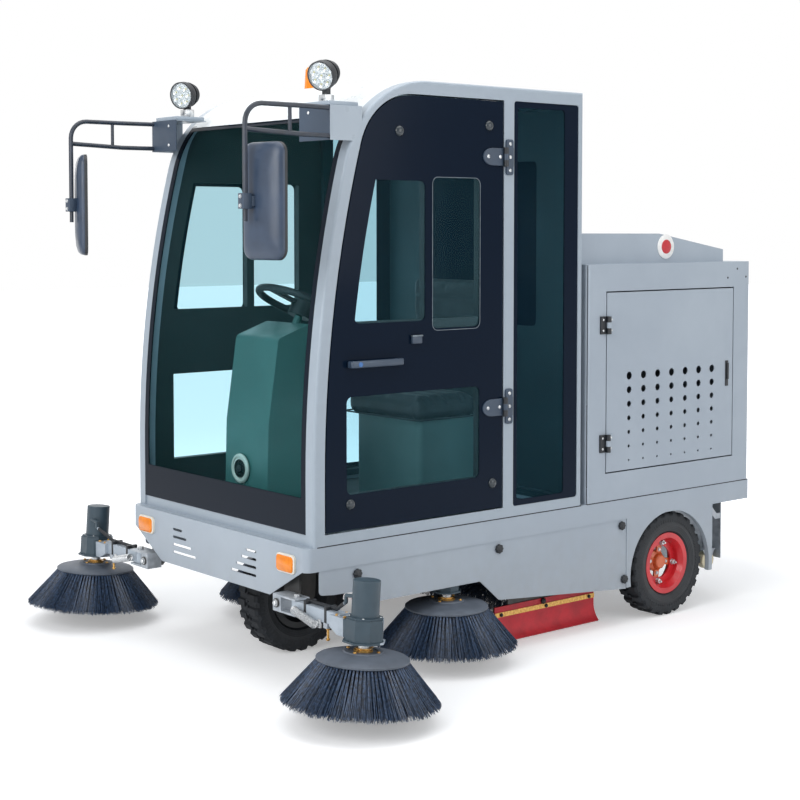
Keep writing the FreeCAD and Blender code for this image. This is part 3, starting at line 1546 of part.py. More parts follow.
def signal_lamps():
    front = rounded_block(signal_x - signal_half, signal_x + signal_half, -panel_lead - signal_depth,
                          -panel_lead,
                          signal_z - signal_tall_half, signal_z + signal_tall_half, signal_tall_half / 2,
                          Y_AXIS)
    rear = rounded_block(signal_x - signal_half, signal_x + signal_half, body_length,
                         body_length + tail_lamp_depth,
                         deck_height - rail_height / 2 - signal_tall_half / 2,
                         deck_height - rail_height / 2 + signal_tall_half / 2, tail_lamp_corner, Y_AXIS)
    return Part.makeCompound([front, other_side(front), rear, other_side(rear)])


export("work_lamps", both_sides(work_lamp()))
export("mirror_arms", both_sides(mirror_arm()))
export("mirrors", both_sides(mirror_head()))
export("beacon", beacon())
export("signal_lamps", signal_lamps())
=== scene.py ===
# %% [markdown]
# # A compact road sweeper
# The frame holds every rigid piece of the sweeper at its real size. This lesson
# gives them their finishes and adds what is too fine for the solids: bristles,
# screws, lamp glasses, springs, the padded seat. Everything is in metres, with the
# vehicle's left along +X, its rear along +Y and the floor at Z = 0.

# %% Load the frame
import bmesh
import bpy
import math
from mathutils import Matrix, Vector


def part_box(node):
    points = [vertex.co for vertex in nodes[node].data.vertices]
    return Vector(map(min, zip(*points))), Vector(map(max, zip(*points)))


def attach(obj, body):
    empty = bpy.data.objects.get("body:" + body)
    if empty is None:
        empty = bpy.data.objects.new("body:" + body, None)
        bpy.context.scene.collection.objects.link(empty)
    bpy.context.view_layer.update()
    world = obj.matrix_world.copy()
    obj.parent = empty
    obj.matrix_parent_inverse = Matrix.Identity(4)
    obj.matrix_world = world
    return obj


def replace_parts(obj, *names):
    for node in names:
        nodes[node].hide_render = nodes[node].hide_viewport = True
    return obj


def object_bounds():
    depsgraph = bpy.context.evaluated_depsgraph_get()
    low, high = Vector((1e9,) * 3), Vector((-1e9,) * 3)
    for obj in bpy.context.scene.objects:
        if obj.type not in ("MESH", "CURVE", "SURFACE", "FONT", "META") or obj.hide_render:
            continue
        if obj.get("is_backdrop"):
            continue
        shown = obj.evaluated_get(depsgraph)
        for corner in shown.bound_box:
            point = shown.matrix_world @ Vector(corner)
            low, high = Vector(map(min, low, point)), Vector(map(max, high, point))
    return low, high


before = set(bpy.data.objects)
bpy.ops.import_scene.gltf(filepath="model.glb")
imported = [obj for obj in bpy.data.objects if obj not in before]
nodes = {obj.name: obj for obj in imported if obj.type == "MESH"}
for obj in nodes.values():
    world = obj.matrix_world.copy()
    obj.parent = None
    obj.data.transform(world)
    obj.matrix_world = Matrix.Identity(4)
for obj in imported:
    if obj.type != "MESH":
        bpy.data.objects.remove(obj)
cad_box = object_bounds()

# %% [markdown]
# The drawings of the sweeper count lengths rearwards from the front plane of the
# cab, in millimetres. The cab floor starts at that plane, so its box gives the
# offset, and one small function turns a drawing point into a point of the scene.
# The stations below are shared by several pieces.

# %% Drawing points
mm = 0.001
cab_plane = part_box("cab_floor")[0].y
sides = (("left", 1), ("right", -1))
wheel_radius = 203
front_wheel_y, rear_wheel_y = 298, 1712
front_brush_at, mid_brush_at = (834, -43), (492, 600)
door_hinge_levels, flap_hinge_levels = (1756, 883), (1149, 707)


def at(x, y, z):
    """A drawing point in millimetres, Y from the cab's front plane, in metres."""
    return Vector((x * mm, y * mm + cab_plane, z * mm))


print("cab plane at", round(cab_plane, 4))

# %% [markdown]
# ## The camera
# A product photograph of a tall machine is taken from about eye height, and the
# lens is shifted down so that the uprights stay almost parallel. A slight tilt
# takes part of that work, and the shift is only what the framing still needs.

# %% Camera
camera_data = bpy.data.cameras.new("product_camera")
camera_data.lens = 70.96
camera_data.sensor_width = 36
camera_data.shift_y = -0.1123
camera = bpy.data.objects.new("product_camera", camera_data)
camera.location = (4.5635, -3.9279, 1.5112)
heading = 2.45033
tilt = math.radians(3)
looking = Vector((math.cos(heading) * math.cos(tilt), math.sin(heading) * math.cos(tilt), -math.sin(tilt)))
camera.rotation_euler = looking.to_track_quat("-Z", "Y").to_euler()
bpy.context.scene.collection.objects.link(camera)
bpy.context.scene.camera = camera
print("camera looks along", [round(c, 3) for c in looking])

# %% [markdown]
# ## One way to add a node
# Every material and every Geometry Nodes tree below is built with one function.
# It adds a node, sets its properties and its input values, and joins its inputs
# to other sockets. Inputs that share a name are given by their number, and a node
# given as a link stands for its first output. A longer sum is written as a
# formula: an operation and its terms, nested as brackets would be.

# %% Node helper and colours


def srgb(code):
    """An sRGB hex value as linear red, green, blue and full alpha."""
    channels = [int(code[i:i + 2], 16) / 255 for i in (1, 3, 5)]
    return [c / 12.92 if c <= 0.04045 else ((c + 0.055) / 1.055) ** 2.4 for c in channels] + [1.0]


def add_node(tree, kind, settings=None, links=None):
    """A new node: settings are properties or input values, links join inputs to sockets or nodes."""
    node = tree.nodes.new(kind)
    values = {}
    for name, value in (settings or {}).items():
        if isinstance(name, str) and hasattr(node, name) and name not in node.inputs:
            setattr(node, name, value)
        else:
            values[name] = value
    for name, value in values.items():
        node.inputs[name].default_value = value
    for name, source in (links or {}).items():
        socket = source.outputs[0] if isinstance(source, bpy.types.Node) else source
        tree.links.new(socket, node.inputs[name])
    return node


def formula(tree, operation, *terms):
    """Nodes for a sum of numbers, sockets, nodes and nested (operation, term, ...) tuples."""
    result, *others = [formula(tree, *term) if isinstance(term, tuple) else term for term in terms]
    for term in others or [0]:
        numbers = {n: float(t) for n, t in enumerate((result, term)) if isinstance(t, (int, float))}
        links = {n: t for n, t in enumerate((result, term)) if n not in numbers}
        result = add_node(tree, "ShaderNodeMath", {"operation": operation, **numbers}, links)
    return result


print("the sRGB value #808080 is", [round(c, 3) for c in srgb("#808080")])

# %% [markdown]
# ## Light, floor and background
# A catalogue picture has a white sheet behind the machine and soft light from
# everywhere. The world lights the machine softly, but where the camera, a
# reflection or a glass looks straight at it, it is plain white.

# %% World and lamps
def seen_by(tree, *rays):
    """1 for the kinds of ray that look straight at something."""
    path = add_node(tree, "ShaderNodeLightPath")
    return formula(tree, "MAXIMUM", *(path.outputs[f"Is {ray} Ray"] for ray in rays))


scene = bpy.context.scene
scene.view_settings.view_transform = "Standard"
world = bpy.data.worlds.new("studio")
scene.world = world
world.use_nodes = True
tree = world.node_tree
tree.nodes.clear()
soft = add_node(tree, "ShaderNodeBackground", {"Color": srgb("#FAFCFF"), "Strength": 0.42})
white = add_node(tree, "ShaderNodeBackground", {"Color": (1, 1, 1, 1), "Strength": 1.0})
both = add_node(tree, "ShaderNodeMixShader",
                links={0: seen_by(tree, "Camera", "Glossy", "Transmission"), 1: soft, 2: white})
add_node(tree, "ShaderNodeOutputWorld", links={"Surface": both})


def softbox(name, place, aim, width, height, power):
    """A white area lamp of a size in metres, aimed at a point."""
    data = bpy.data.lights.new(name, "AREA")
    data.shape = "RECTANGLE"
    data.size, data.size_y = width, height
    data.energy = power
    lamp = bpy.data.objects.new(name, data)
    lamp.location = place
    lamp.rotation_euler = (Vector(aim) - Vector(place)).to_track_quat("-Z", "Y").to_euler()
    scene.collection.objects.link(lamp)


softbox("overhead_softbox", (0.4, -0.3, 4.6), (0, 0, 0.6), 4.5, 4.5, 118)
softbox("front_softbox", (1.2, -4.6, 2.6), (0, -0.4, 1.0), 3.0, 2.6, 108)
softbox("side_softbox", (4.8, 1.2, 2.4), (0.3, 0.2, 1.0), 3.0, 2.6, 55)
softbox("far_softbox", (-4.2, 0.5, 3.0), (0, 0.2, 1.0), 2.5, 2.5, 30)

# %% [markdown]
# The floor is a large pale sheet. It takes the soft shadows, and what the camera
# sees of it is lifted a little, so that it reaches white away from the machine.

# %% Floor
reach = 30
corners = [(-reach, -reach, 0), (reach, -reach, 0), (reach, reach, 0), (-reach, reach, 0)]
floor_mesh = bpy.data.meshes.new("floor")
floor_mesh.from_pydata(corners, [], [(0, 1, 2, 3)])
floor = bpy.data.objects.new("floor", floor_mesh)
scene.collection.objects.link(floor)
paper = bpy.data.materials.new("seamless_paper")
paper.use_nodes = True
tree = paper.node_tree
tree.nodes.clear()
where = add_node(tree, "ShaderNodeTexCoord").outputs["Object"]
grain = add_node(tree, "ShaderNodeTexNoise", {"Scale": 3.0, "Detail": 2.0}, {"Vector": where})
shade = add_node(tree, "ShaderNodeMix", {"data_type": "RGBA", 6: srgb("#EDEEF0"), 7: srgb("#F1F2F3")},
                 {0: grain})
sheet = add_node(tree, "ShaderNodeBsdfPrincipled", {"Roughness": 0.9, "Specular IOR Level": 0.1},
                 {"Base Color": shade.outputs[2]})
far = add_node(tree, "ShaderNodeVectorMath", {"operation": "LENGTH"}, {0: where})
growing = add_node(tree, "ShaderNodeMapRange", {"From Min": 1.7, "From Max": 3.2, "To Min": 0.32,
                                                "To Max": 1.0},
                   {"Value": far.outputs["Value"]})
lift = formula(tree, "MULTIPLY", seen_by(tree, "Camera", "Glossy"), growing)
glow = add_node(tree, "ShaderNodeEmission", {"Color": (1, 1, 1, 1)}, {"Strength": lift})
total = add_node(tree, "ShaderNodeAddShader", links={0: sheet, 1: glow})
add_node(tree, "ShaderNodeOutputMaterial", links={"Surface": total})
floor_mesh.materials.append(paper)
floor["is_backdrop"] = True
print("floor", 2 * reach, "m across")

# %% [markdown]
# ## Finishes
# A material starts as an empty tree with a Principled shader and the object's own
# coordinates in metres. Patterns are sized in millimetres: a feature of so many
# millimetres is a noise scale of one over that many thousandths.

# %% Material helpers


def per_mm(size):
    """The texture scale that draws a feature of this many millimetres."""
    return 1 / (size * mm)


def new_material(name, settings):
    """A material with its shader, its tree and its coordinates."""
    material = bpy.data.materials.new(name)
    material.use_nodes = True
    tree = material.node_tree
    tree.nodes.clear()
    shader = add_node(tree, "ShaderNodeBsdfPrincipled", settings)
    add_node(tree, "ShaderNodeOutputMaterial", links={"Surface": shader})
    return material, tree, shader, add_node(tree, "ShaderNodeTexCoord").outputs["Object"]


def two_tone(tree, where, shader, light, dark, size, low=0.35, high=0.65):
    """Base colour that drifts between two close colours over a size in millimetres."""
    noise = add_node(tree, "ShaderNodeTexNoise", {"Scale": per_mm(size), "Detail": 4.0, "Roughness": 0.6},
                     {"Vector": where})
    step = add_node(tree, "ShaderNodeMapRange", {"From Min": low, "From Max": high}, {"Value": noise})
    blend = add_node(tree, "ShaderNodeMix", {"data_type": "RGBA", 6: srgb(dark), 7: srgb(light)}, {0: step})
    tree.links.new(blend.outputs[2], shader.inputs["Base Color"])
    return blend.outputs[2]


def grain_bump(tree, where, shader, size, depth):
    """Bump from a noise of one size, depth in millimetres."""
    noise = add_node(tree, "ShaderNodeTexNoise", {"Scale": per_mm(size), "Detail": 2.0}, {"Vector": where})
    bump = add_node(tree, "ShaderNodeBump", {"Strength": 1.0, "Distance": depth * mm}, {"Height": noise})
    tree.links.new(bump.outputs[0], shader.inputs["Normal"])


def uneven_gloss(tree, where, shader, size, low, high):
    """Roughness that wanders between two values."""
    noise = add_node(tree, "ShaderNodeTexNoise", {"Scale": per_mm(size), "Detail": 5.0}, {"Vector": where})
    level = add_node(tree, "ShaderNodeMapRange", {"From Min": 0.3, "From Max": 0.7, "To Min": low,
                                                  "To Max": high},
                     {"Value": noise})
    tree.links.new(level.outputs[0], shader.inputs["Roughness"])


print("a feature of 7 mm has the texture scale", round(per_mm(7), 1))

# %% [markdown]
# ### Powder-coated sheet
# The body is folded steel sheet under a baked powder coat: satin, with a very
# faint orange peel, and a film of road dust low down. The peel of the real coat is
# about 1 mm; it is drawn at 7 mm so that it shows at all from this distance.

# %% Powder coats
dust_low, dust_top = 0.1, 0.5


def powder_coat(name, light, dark, gloss=(0.34, 0.46)):
    """A satin baked coat in two close tones, with a film of dust low down."""
    material, tree, shader, where = new_material(name, {"Specular IOR Level": 0.5})
    colour = two_tone(tree, where, shader, light, dark, 420)
    height = add_node(tree, "ShaderNodeSeparateXYZ", links={0: where}).outputs["Z"]
    low_down = add_node(tree, "ShaderNodeMapRange", {"From Min": dust_top, "From Max": dust_low,
                                                     "To Max": 0.55},
                        {"Value": height})
    patches = add_node(tree, "ShaderNodeTexNoise", {"Scale": per_mm(45), "Detail": 6.0}, {"Vector": where})
    dusty = add_node(tree, "ShaderNodeMix", {"data_type": "RGBA", 7: srgb("#8E8A84")},
                     {0: formula(tree, "MULTIPLY", low_down, patches), 6: colour})
    tree.links.new(dusty.outputs[2], shader.inputs["Base Color"])
    grain_bump(tree, where, shader, 7, 0.05)
    uneven_gloss(tree, where, shader, 60, *gloss)
    return material


body_coat = powder_coat("powder_coated_sheet", "#A6B1BC", "#9EA9B5")
frame_coat = powder_coat("powder_coated_tube", "#A2AEB9", "#9AA6B2", gloss=(0.26, 0.36))
roof_coat = powder_coat("white_roof_enamel", "#DDE2E4", "#D3D9DC", gloss=(0.25, 0.35))
inner_coat = powder_coat("grey_green_inner_panels", "#6F8E8D", "#618080", gloss=(0.45, 0.6))
console_coat = powder_coat("green_console_enamel", "#4C7975", "#406A66", gloss=(0.4, 0.55))
wall_coat = powder_coat("dark_rear_wall_enamel", "#34494F", "#2A3C42", gloss=(0.45, 0.6))
dark_inner_coat = powder_coat("dark_inner_enamel", "#263034", "#1D2629", gloss=(0.45, 0.6))
chassis_coat = powder_coat("black_chassis_paint", "#1D2024", "#15181B", gloss=(0.45, 0.6))
bracket_coat = powder_coat("slate_bracket_paint", "#37475A", "#2F3E50", gloss=(0.35, 0.5))
print("powder coats", [m.name for m in bpy.data.materials if "powder" in m.name])

# %% [markdown]
# ### Glass with a printed border
# The windscreen and the door panes are tinted safety glass. A black ceramic border
# is baked on the inside to hide the glue and the frame. Each clear window in that
# border is a rounded rectangle in the side view, so the mask is the distance to
# one, worked out from the coordinates, and the door's front edge is the long arc
# of the cab. The clear part lets light through with a faint green-blue colour on
# each face, so what lies behind two panes is tinted four times. Only a thin veil
# of it shows the glass itself, because a thicker one looks grainy at few samples.

# %% Windows as masks
curve_radius, curve_lead, curve_start = 4094, 11, 700
arc_centre = at(0, curve_radius - curve_lead, curve_start)
glass_gloss = 0.12


def side_view(tree, parts):
    """The coordinates without X."""
    return add_node(tree, "ShaderNodeCombineXYZ", links={"Y": parts.outputs["Y"], "Z": parts.outputs["Z"]})


def window_mask(tree, parts, low, high, corner):
    """1 inside a rounded rectangle between two (Y, Z) points in drawing millimetres."""
    a, b = at(0, *low), at(0, *high)
    middle, size, r = (a + b) / 2, (b - a) / 2, corner * mm
    away = side_view(tree, parts)
    for operation, value in (("SUBTRACT", (0, middle.y, middle.z)), ("ABSOLUTE", (0, 0, 0)),
                             ("SUBTRACT", (0, size.y - r, size.z - r)), ("MAXIMUM", (0, 0, 0))):
        away = add_node(tree, "ShaderNodeVectorMath", {"operation": operation, 1: value}, {0: away})
    far = add_node(tree, "ShaderNodeVectorMath", {"operation": "LENGTH"}, {0: away}).outputs["Value"]
    return formula(tree, "LESS_THAN", far, r)


def inside_curve(tree, parts, inset):
    """1 behind the cab's curved front, set in by so many millimetres."""
    high = formula(tree, "MAXIMUM", parts.outputs["Z"], curve_start * mm)
    point = add_node(tree, "ShaderNodeCombineXYZ", links={"Y": parts.outputs["Y"], "Z": high})
    off = add_node(tree, "ShaderNodeVectorMath", {"operation": "DISTANCE",
                                                  1: (0, arc_centre.y, arc_centre.z)},
                   {0: point}).outputs["Value"]
    return formula(tree, "LESS_THAN", off, (curve_radius - inset) * mm)


def within(tree, parts, **limits):
    """1 where coordinates lie between two drawing values; x counts from the middle to both sides."""
    terms = []
    for axis, (low, high) in limits.items():
        value = ("ABSOLUTE", parts.outputs["X"]) if axis == "x" else parts.outputs[axis.upper()]
        start = cab_plane if axis == "y" else 0.0
        terms += [("GREATER_THAN", value, low * mm + start), ("LESS_THAN", value, high * mm + start)]
    return formula(tree, "MULTIPLY", *terms)


def glass_with_border(name, tint, see, veil, border, mask_of):
    """Tinted glass: mask_of gives the clear part inside the printed border.

    see is the colour that light takes on through one face, and veil the share of each
    clear face that shows its own tint and its reflections instead."""
    material, tree, shader, where = new_material(name, {"Specular IOR Level": 0.06})
    parts = add_node(tree, "ShaderNodeSeparateXYZ", links={0: where})
    window = mask_of(tree, parts)
    film = add_node(tree, "ShaderNodeTexNoise", {"Scale": per_mm(300), "Detail": 2.0}, {"Vector": where})
    tinted = add_node(tree, "ShaderNodeMix", {"data_type": "RGBA", 6: srgb(tint[0]), 7: srgb(tint[1])},
                      {0: film})
    colour = add_node(tree, "ShaderNodeMix", {"data_type": "RGBA", 6: srgb(border)},
                      {0: window, 7: tinted.outputs[2]})
    smear = add_node(tree, "ShaderNodeTexNoise", {"Scale": per_mm(90), "Detail": 6.0}, {"Vector": where})
    level = add_node(tree, "ShaderNodeMapRange", {"To Min": glass_gloss, "To Max": glass_gloss * 1.5},
                     {"Value": smear})
    tree.links.new(colour.outputs[2], shader.inputs["Base Color"])
    tree.links.new(level.outputs[0], shader.inputs["Roughness"])
    clear = add_node(tree, "ShaderNodeBsdfTransparent", {"Color": srgb(see)})
    both = add_node(tree, "ShaderNodeMixShader",
                    links={0: formula(tree, "MULTIPLY", window, 1 - veil), 1: shader, 2: clear})
    output = next(node for node in tree.nodes if node.type == "OUTPUT_MATERIAL")
    tree.links.new(both.outputs[0], output.inputs["Surface"])
    return material


def door_windows(tree, parts):
    """The clear parts of a door: the front pane, the sliding pane behind it and the low pane."""
    front = formula(tree, "MULTIPLY", window_mask(tree, parts, (155, 1199), (456, 1667), 22),
                    inside_curve(tree, parts, 134))
    low = formula(tree, "MULTIPLY", window_mask(tree, parts, (122, 644), (703, 963), 22),
                  inside_curve(tree, parts, 104))
    return formula(tree, "MAXIMUM", front, window_mask(tree, parts, (488, 1171), (703, 1680), 22), low)


def quarter_window(tree, parts):
    """The clear part of the tall pane behind the door."""
    return window_mask(tree, parts, (885, 545), (1120, 1932), 14)


def screen_window(tree, parts):
    """The clear part of the windscreen."""
    return within(tree, parts, x=(-1, 477), z=(640, 1868))


door_tint = glass_with_border("tinted_door_glass", ("#45707D", "#527F8A"), "#EDF8FB", 0.05, "#0A1829",
                              door_windows)
quarter_tint = glass_with_border("dark_quarter_glass", ("#36596A", "#416876"), "#DDEFF4", 0.06, "#0A1829",
                                 quarter_window)
screen_tint = glass_with_border("green_windscreen_glass", ("#1D4A4A", "#235656"), "#EBF8FB", 0.05, "#141D29",
                                screen_window)
print("glass", door_tint.name, quarter_tint.name, screen_tint.name)

# %% [markdown]
# ### Rubber, plastics and bare metal
# Each of these is one recipe with its own colours: rubber is nearly black and
# dull, moulded plastic a little glossier, zinc-plated steel grey with a soft
# streaky shine, and brushed or passivated fittings have a golden cast.

# %% Small recipes


def moulded(name, light, dark, size, gloss, bump_size, bump_depth, **more):
    """Two tones, an uneven gloss and, where it has a depth, a fine grain; sizes in millimetres."""
    material, tree, shader, where = new_material(name, more)
    two_tone(tree, where, shader, light, dark, size)
    uneven_gloss(tree, where, shader, size / 2, *gloss)
    if bump_depth:
        grain_bump(tree, where, shader, bump_size, bump_depth)
    return material


black_plastic = moulded("moulded_black_abs", "#1B2026", "#14181D", 60, (0.42, 0.58), 4, 0.06)
dark_rubber = moulded("black_trim_rubber", "#1A1C1F", "#131517", 50, (0.6, 0.75), 5, 0.1)
zinc = moulded("zinc_plated_steel", "#D3D5D6", "#A9ADB1", 14, (0.22, 0.4), 3, 0.02, Metallic=0.9)
gold_zinc = moulded("yellow_passivated_steel", "#E0B66A", "#B98A4E", 9, (0.25, 0.42), 3, 0.02, Metallic=0.9)
cast_arm = moulded("bead_blasted_cast_aluminium", "#B9BFC6", "#98A0A8", 28, (0.42, 0.58), 5, 0.12,
                   Metallic=0.35)
caster_coat = moulded("cream_polyurethane", "#E4DBBE", "#D3C8A6", 25, (0.35, 0.5), 6, 0.04,
                      **{"Subsurface Weight": 0.05})
battery_coat = moulded("battery_case_polypropylene", "#2C3138", "#22262C", 80, (0.5, 0.62), 6, 0.05)
spring_steel = moulded("galvanised_spring_wire", "#D8DADB", "#B3B7BB", 6, (0.25, 0.4), 2, 0.01, Metallic=0.85)
disc_coat = moulded("moulded_brush_plate", "#5A626E", "#4C545F", 45, (0.5, 0.62), 7, 0.08)
print("recipes", len(bpy.data.materials))

# %% [markdown]
# ### Tyres and painted wheels
# A tyre is matt on the tread and slightly smoother on the wall, where moulded
# rings run round. The rings are bump made from the distance to the axle, so each
# wheel position needs its own centre. The rear rims are bright red enamel round a
# hub that keeps its orange primer; the driven front wheel is black round bare steel.

# %% Wheel finishes
bead_radius, wall_radius, lug_radius = 0.150, 0.165, 0.196
ring_pitch = 7


def axle_distance(tree, where, y):
    """How far a place is from the axle of the wheel at a station."""
    centre = at(0, y, wheel_radius)
    flat = side_view(tree, add_node(tree, "ShaderNodeSeparateXYZ", links={0: where}))
    off = add_node(tree, "ShaderNodeVectorMath", {"operation": "DISTANCE", 1: (0, centre.y, centre.z)},
                   {0: flat})
    return off.outputs["Value"]


def tyre_rubber(name, y):
    """Rubber that is rougher on the tread, with moulded rings round the wall."""
    material, tree, shader, where = new_material(name, {"Specular IOR Level": 0.4})
    two_tone(tree, where, shader, "#24282D", "#191C20", 60)
    off = axle_distance(tree, where, y)
    worn = add_node(tree, "ShaderNodeMapRange", {"From Min": bead_radius, "From Max": lug_radius,
                                                 "To Min": 0.5,
                                                 "To Max": 0.82}, {"Value": off})
    tree.links.new(worn.outputs[0], shader.inputs["Roughness"])
    on_wall = add_node(tree, "ShaderNodeMapRange", {"From Min": wall_radius, "From Max": bead_radius},
                       {"Value": off})
    ring = formula(tree, "MULTIPLY", ("SINE", ("MULTIPLY", off, 2 * math.pi / (ring_pitch * mm))), on_wall)
    rough = add_node(tree, "ShaderNodeTexNoise", {"Scale": per_mm(4), "Detail": 4.0}, {"Vector": where})
    height = add_node(tree, "ShaderNodeMath", {"operation": "MULTIPLY_ADD", 1: 0.4}, {0: ring, 2: rough})
    bump = add_node(tree, "ShaderNodeBump", {"Distance": 0.35 * mm}, {"Height": height})
    tree.links.new(bump.outputs[0], shader.inputs["Normal"])
    return material


def wheel_enamel(name, y, hub, paint_tones, hub_tones):
    """Glossy paint round a hub with tones of its own, the hub's radius in millimetres."""
    material, tree, shader, where = new_material(name, {"Coat Weight": 0.25, "Coat Roughness": 0.12})
    outer = two_tone(tree, where, shader, *paint_tones, 90)
    inner = formula(tree, "LESS_THAN", axle_distance(tree, where, y), hub * mm)
    rusty = add_node(tree, "ShaderNodeTexNoise", {"Scale": per_mm(14), "Detail": 6.0}, {"Vector": where})
    primer = add_node(tree, "ShaderNodeMix", {"data_type": "RGBA", 6: srgb(hub_tones[0]),
                                              7: srgb(hub_tones[1])},
                      {0: rusty})
    paint = add_node(tree, "ShaderNodeMix", {"data_type": "RGBA"}, {0: inner, 6: outer, 7: primer.outputs[2]})
    tree.links.new(paint.outputs[2], shader.inputs["Base Color"])
    uneven_gloss(tree, where, shader, 30, 0.28, 0.42)
    grain_bump(tree, where, shader, 6, 0.05)
    return material


front_tyre_rubber = tyre_rubber("tyre_rubber_front", front_wheel_y)
rear_tyre_rubber = tyre_rubber("tyre_rubber_rear", rear_wheel_y)
front_enamel = wheel_enamel("black_wheel_enamel_front", front_wheel_y, 44, ("#1F2328", "#16191D"),
                            ("#5B6066", "#474C52"))
rear_enamel = wheel_enamel("red_wheel_enamel_rear", rear_wheel_y, 63.5, ("#D22730", "#BE1C27"),
                           ("#E0703A", "#C25A32"))
print("wheels", front_enamel.name, rear_enamel.name)

# %% [markdown]
# ### Bristles, lenses, mirrors and cloth
# Sweeping bristles are blue-black polypropylene, each strand catching the light
# along its length. Lamp glasses are coloured acrylic with a warm base and a clear
# gloss. The clear one lets a little light through, and the amber ones carry a
# faint emission, a painted glow, so they glow without being lamps.

# %% More finishes
bristle_fibre, tree, shader, where = new_material("polypropylene_bristle",
                                                  {"Roughness": 0.42, "Specular IOR Level": 0.55})
two_tone(tree, where, shader, "#374C69", "#151D2A", 9, 0.38, 0.58)

# Painted glow: a faint orange emission on the amber glass, which is no lamp.
amber_acrylic_painted_glow = moulded("amber_acrylic_lens", "#EC8708", "#E07A06", 20, (0.12, 0.22), 0, 0,
                        **{"Specular IOR Level": 0.2, "Coat Weight": 0.3, "Coat Roughness": 0.05,
                           "Emission Color": srgb("#FF8A00"), "Emission Strength": 0.06})
red_acrylic = moulded("red_acrylic_lens", "#C4182A", "#A21020", 20, (0.12, 0.22), 0, 0,
                      **{"Coat Weight": 0.6, "Coat Roughness": 0.05})
clear_acrylic = moulded("clear_lamp_glass", "#DDE6EA", "#C9D4DA", 40, (0.05, 0.1), 0, 0, **{"Alpha": 0.28})
led_chip = moulded("yellow_led_chip", "#F2E36A", "#E6D24C", 4, (0.3, 0.4), 0, 0)
led_cup = moulded("bright_reflector_cup", "#F4F7F8", "#D5DCE0", 8, (0.08, 0.18), 0, 0, Metallic=0.95)
mirror_glass = moulded("silvered_mirror_glass", "#E8EDEF", "#DDE3E6", 200, (0.02, 0.04), 0, 0, Metallic=1.0)
red_sheet_rubber = moulded("red_sheet_rubber", "#D8303C", "#BC2230", 70, (0.42, 0.55), 12, 0.25)
satin_edge = moulded("satin_steel_edge", "#7F8A92", "#67727B", 20, (0.3, 0.42), 0, 0, Metallic=0.6)
# Painted shade, near black, for the cone among the side brushes' roots and for the main brush's core.
bristle_shade = moulded("bristle_root_shade", "#171A21", "#0F1217", 12, (0.7, 0.85), 0, 0)
cream_plastic = moulded("cream_lamp_base", "#E9E5DA", "#DAD5C8", 30, (0.35, 0.45), 0, 0)
marker_red = moulded("red_marker_enamel", "#C8242E", "#B31E28", 15, (0.3, 0.4), 0, 0)
marker_white = moulded("white_marker_enamel", "#F3F3F1", "#E6E6E4", 15, (0.3, 0.4), 0, 0)
button_plastic = moulded("glossy_slate_plastic", "#2B353D", "#212A30", 10, (0.12, 0.2), 0, 0)
carpet = moulded("ribbed_floor_rubber", "#2A2E32", "#1F2326", 30, (0.6, 0.75), 5, 0.15)
mirror_shell = moulded("slate_mirror_housing", "#314157", "#29384C", 80, (0.3, 0.45), 4, 0.06,
                       **{"Specular IOR Level": 0.5})

seat_vinyl, tree, shader, where = new_material("grained_seat_vinyl",
                                               {"Sheen Weight": 0.15, "Sheen Roughness": 0.4})
two_tone(tree, where, shader, "#3A4146", "#2C3338", 50)
uneven_gloss(tree, where, shader, 30, 0.48, 0.62)
cells = add_node(tree, "ShaderNodeTexVoronoi", {"Scale": per_mm(5), "feature": "DISTANCE_TO_EDGE"},
                 {"Vector": where})
pore = add_node(tree, "ShaderNodeBump", {"Strength": 0.6, "Distance": 0.3 * mm},
                {"Height": cells.outputs["Distance"]})
tree.links.new(pore.outputs[0], shader.inputs["Normal"])
print("materials", len(bpy.data.materials))

# %% [markdown]
# ### Two finishes on one solid
# A brush arm carries its enamelled motor and a black cable, and the cab's frame
# gets painted shade, in the rear wall's dark tones, on its faces inside the cab.
# Where such paints meet at a plane or round an axis, a mask from the
# coordinates chooses between them.

# %% Split finishes


def split_coat(name, base, layers, gloss, metal=0.0):
    """Painted colours on one solid: each layer is a mask and the pair of tones it shows where it is 1."""
    material, tree, shader, where = new_material(name, {})
    parts = add_node(tree, "ShaderNodeSeparateXYZ", links={0: where})
    noise = add_node(tree, "ShaderNodeTexNoise", {"Scale": per_mm(30), "Detail": 5.0}, {"Vector": where})
    colour = add_node(tree, "ShaderNodeMix", {"data_type": "RGBA", 6: srgb(base[0]), 7: srgb(base[1])},
                      {0: noise})
    for mask_of, (one, two) in layers:
        mask = mask_of(tree, parts)
        paint = add_node(tree, "ShaderNodeMix", {"data_type": "RGBA", 6: srgb(one), 7: srgb(two)}, {0: noise})
        colour = add_node(tree, "ShaderNodeMix", {"data_type": "RGBA"},
                          {0: mask, 6: colour.outputs[2], 7: paint.outputs[2]})
    tree.links.new(colour.outputs[2], shader.inputs["Base Color"])
    if metal:
        shine = add_node(tree, "ShaderNodeMapRange", {"To Min": metal, "To Max": 0.0}, {"Value": mask})
        tree.links.new(shine.outputs[0], shader.inputs["Metallic"])
    uneven_gloss(tree, where, shader, 24, *gloss)
    grain_bump(tree, where, shader, 5, 0.08)
    return material


def near_axis(x, y, radius, low):
    """Mask of what lies within a radius of an upright axis, on both sides of the vehicle."""
    def mask_of(tree, parts):
        flat = add_node(tree, "ShaderNodeCombineXYZ",
                        links={"X": formula(tree, "ABSOLUTE", parts.outputs["X"]), "Y": parts.outputs["Y"]})
        off = add_node(tree, "ShaderNodeVectorMath", {"operation": "DISTANCE", 1: (x * mm, at(x, y, 0).y, 0)},
                       {0: flat})
        return formula(tree, "MULTIPLY", ("LESS_THAN", off.outputs["Value"], radius * mm),
                       ("GREATER_THAN", parts.outputs["Z"], low * mm))
    return mask_of


def cable_on_arm(tree, parts):
    """Mask of the cable that lies along the top of a front arm."""
    return within(tree, parts, x=(530, 768), z=(319, 400))


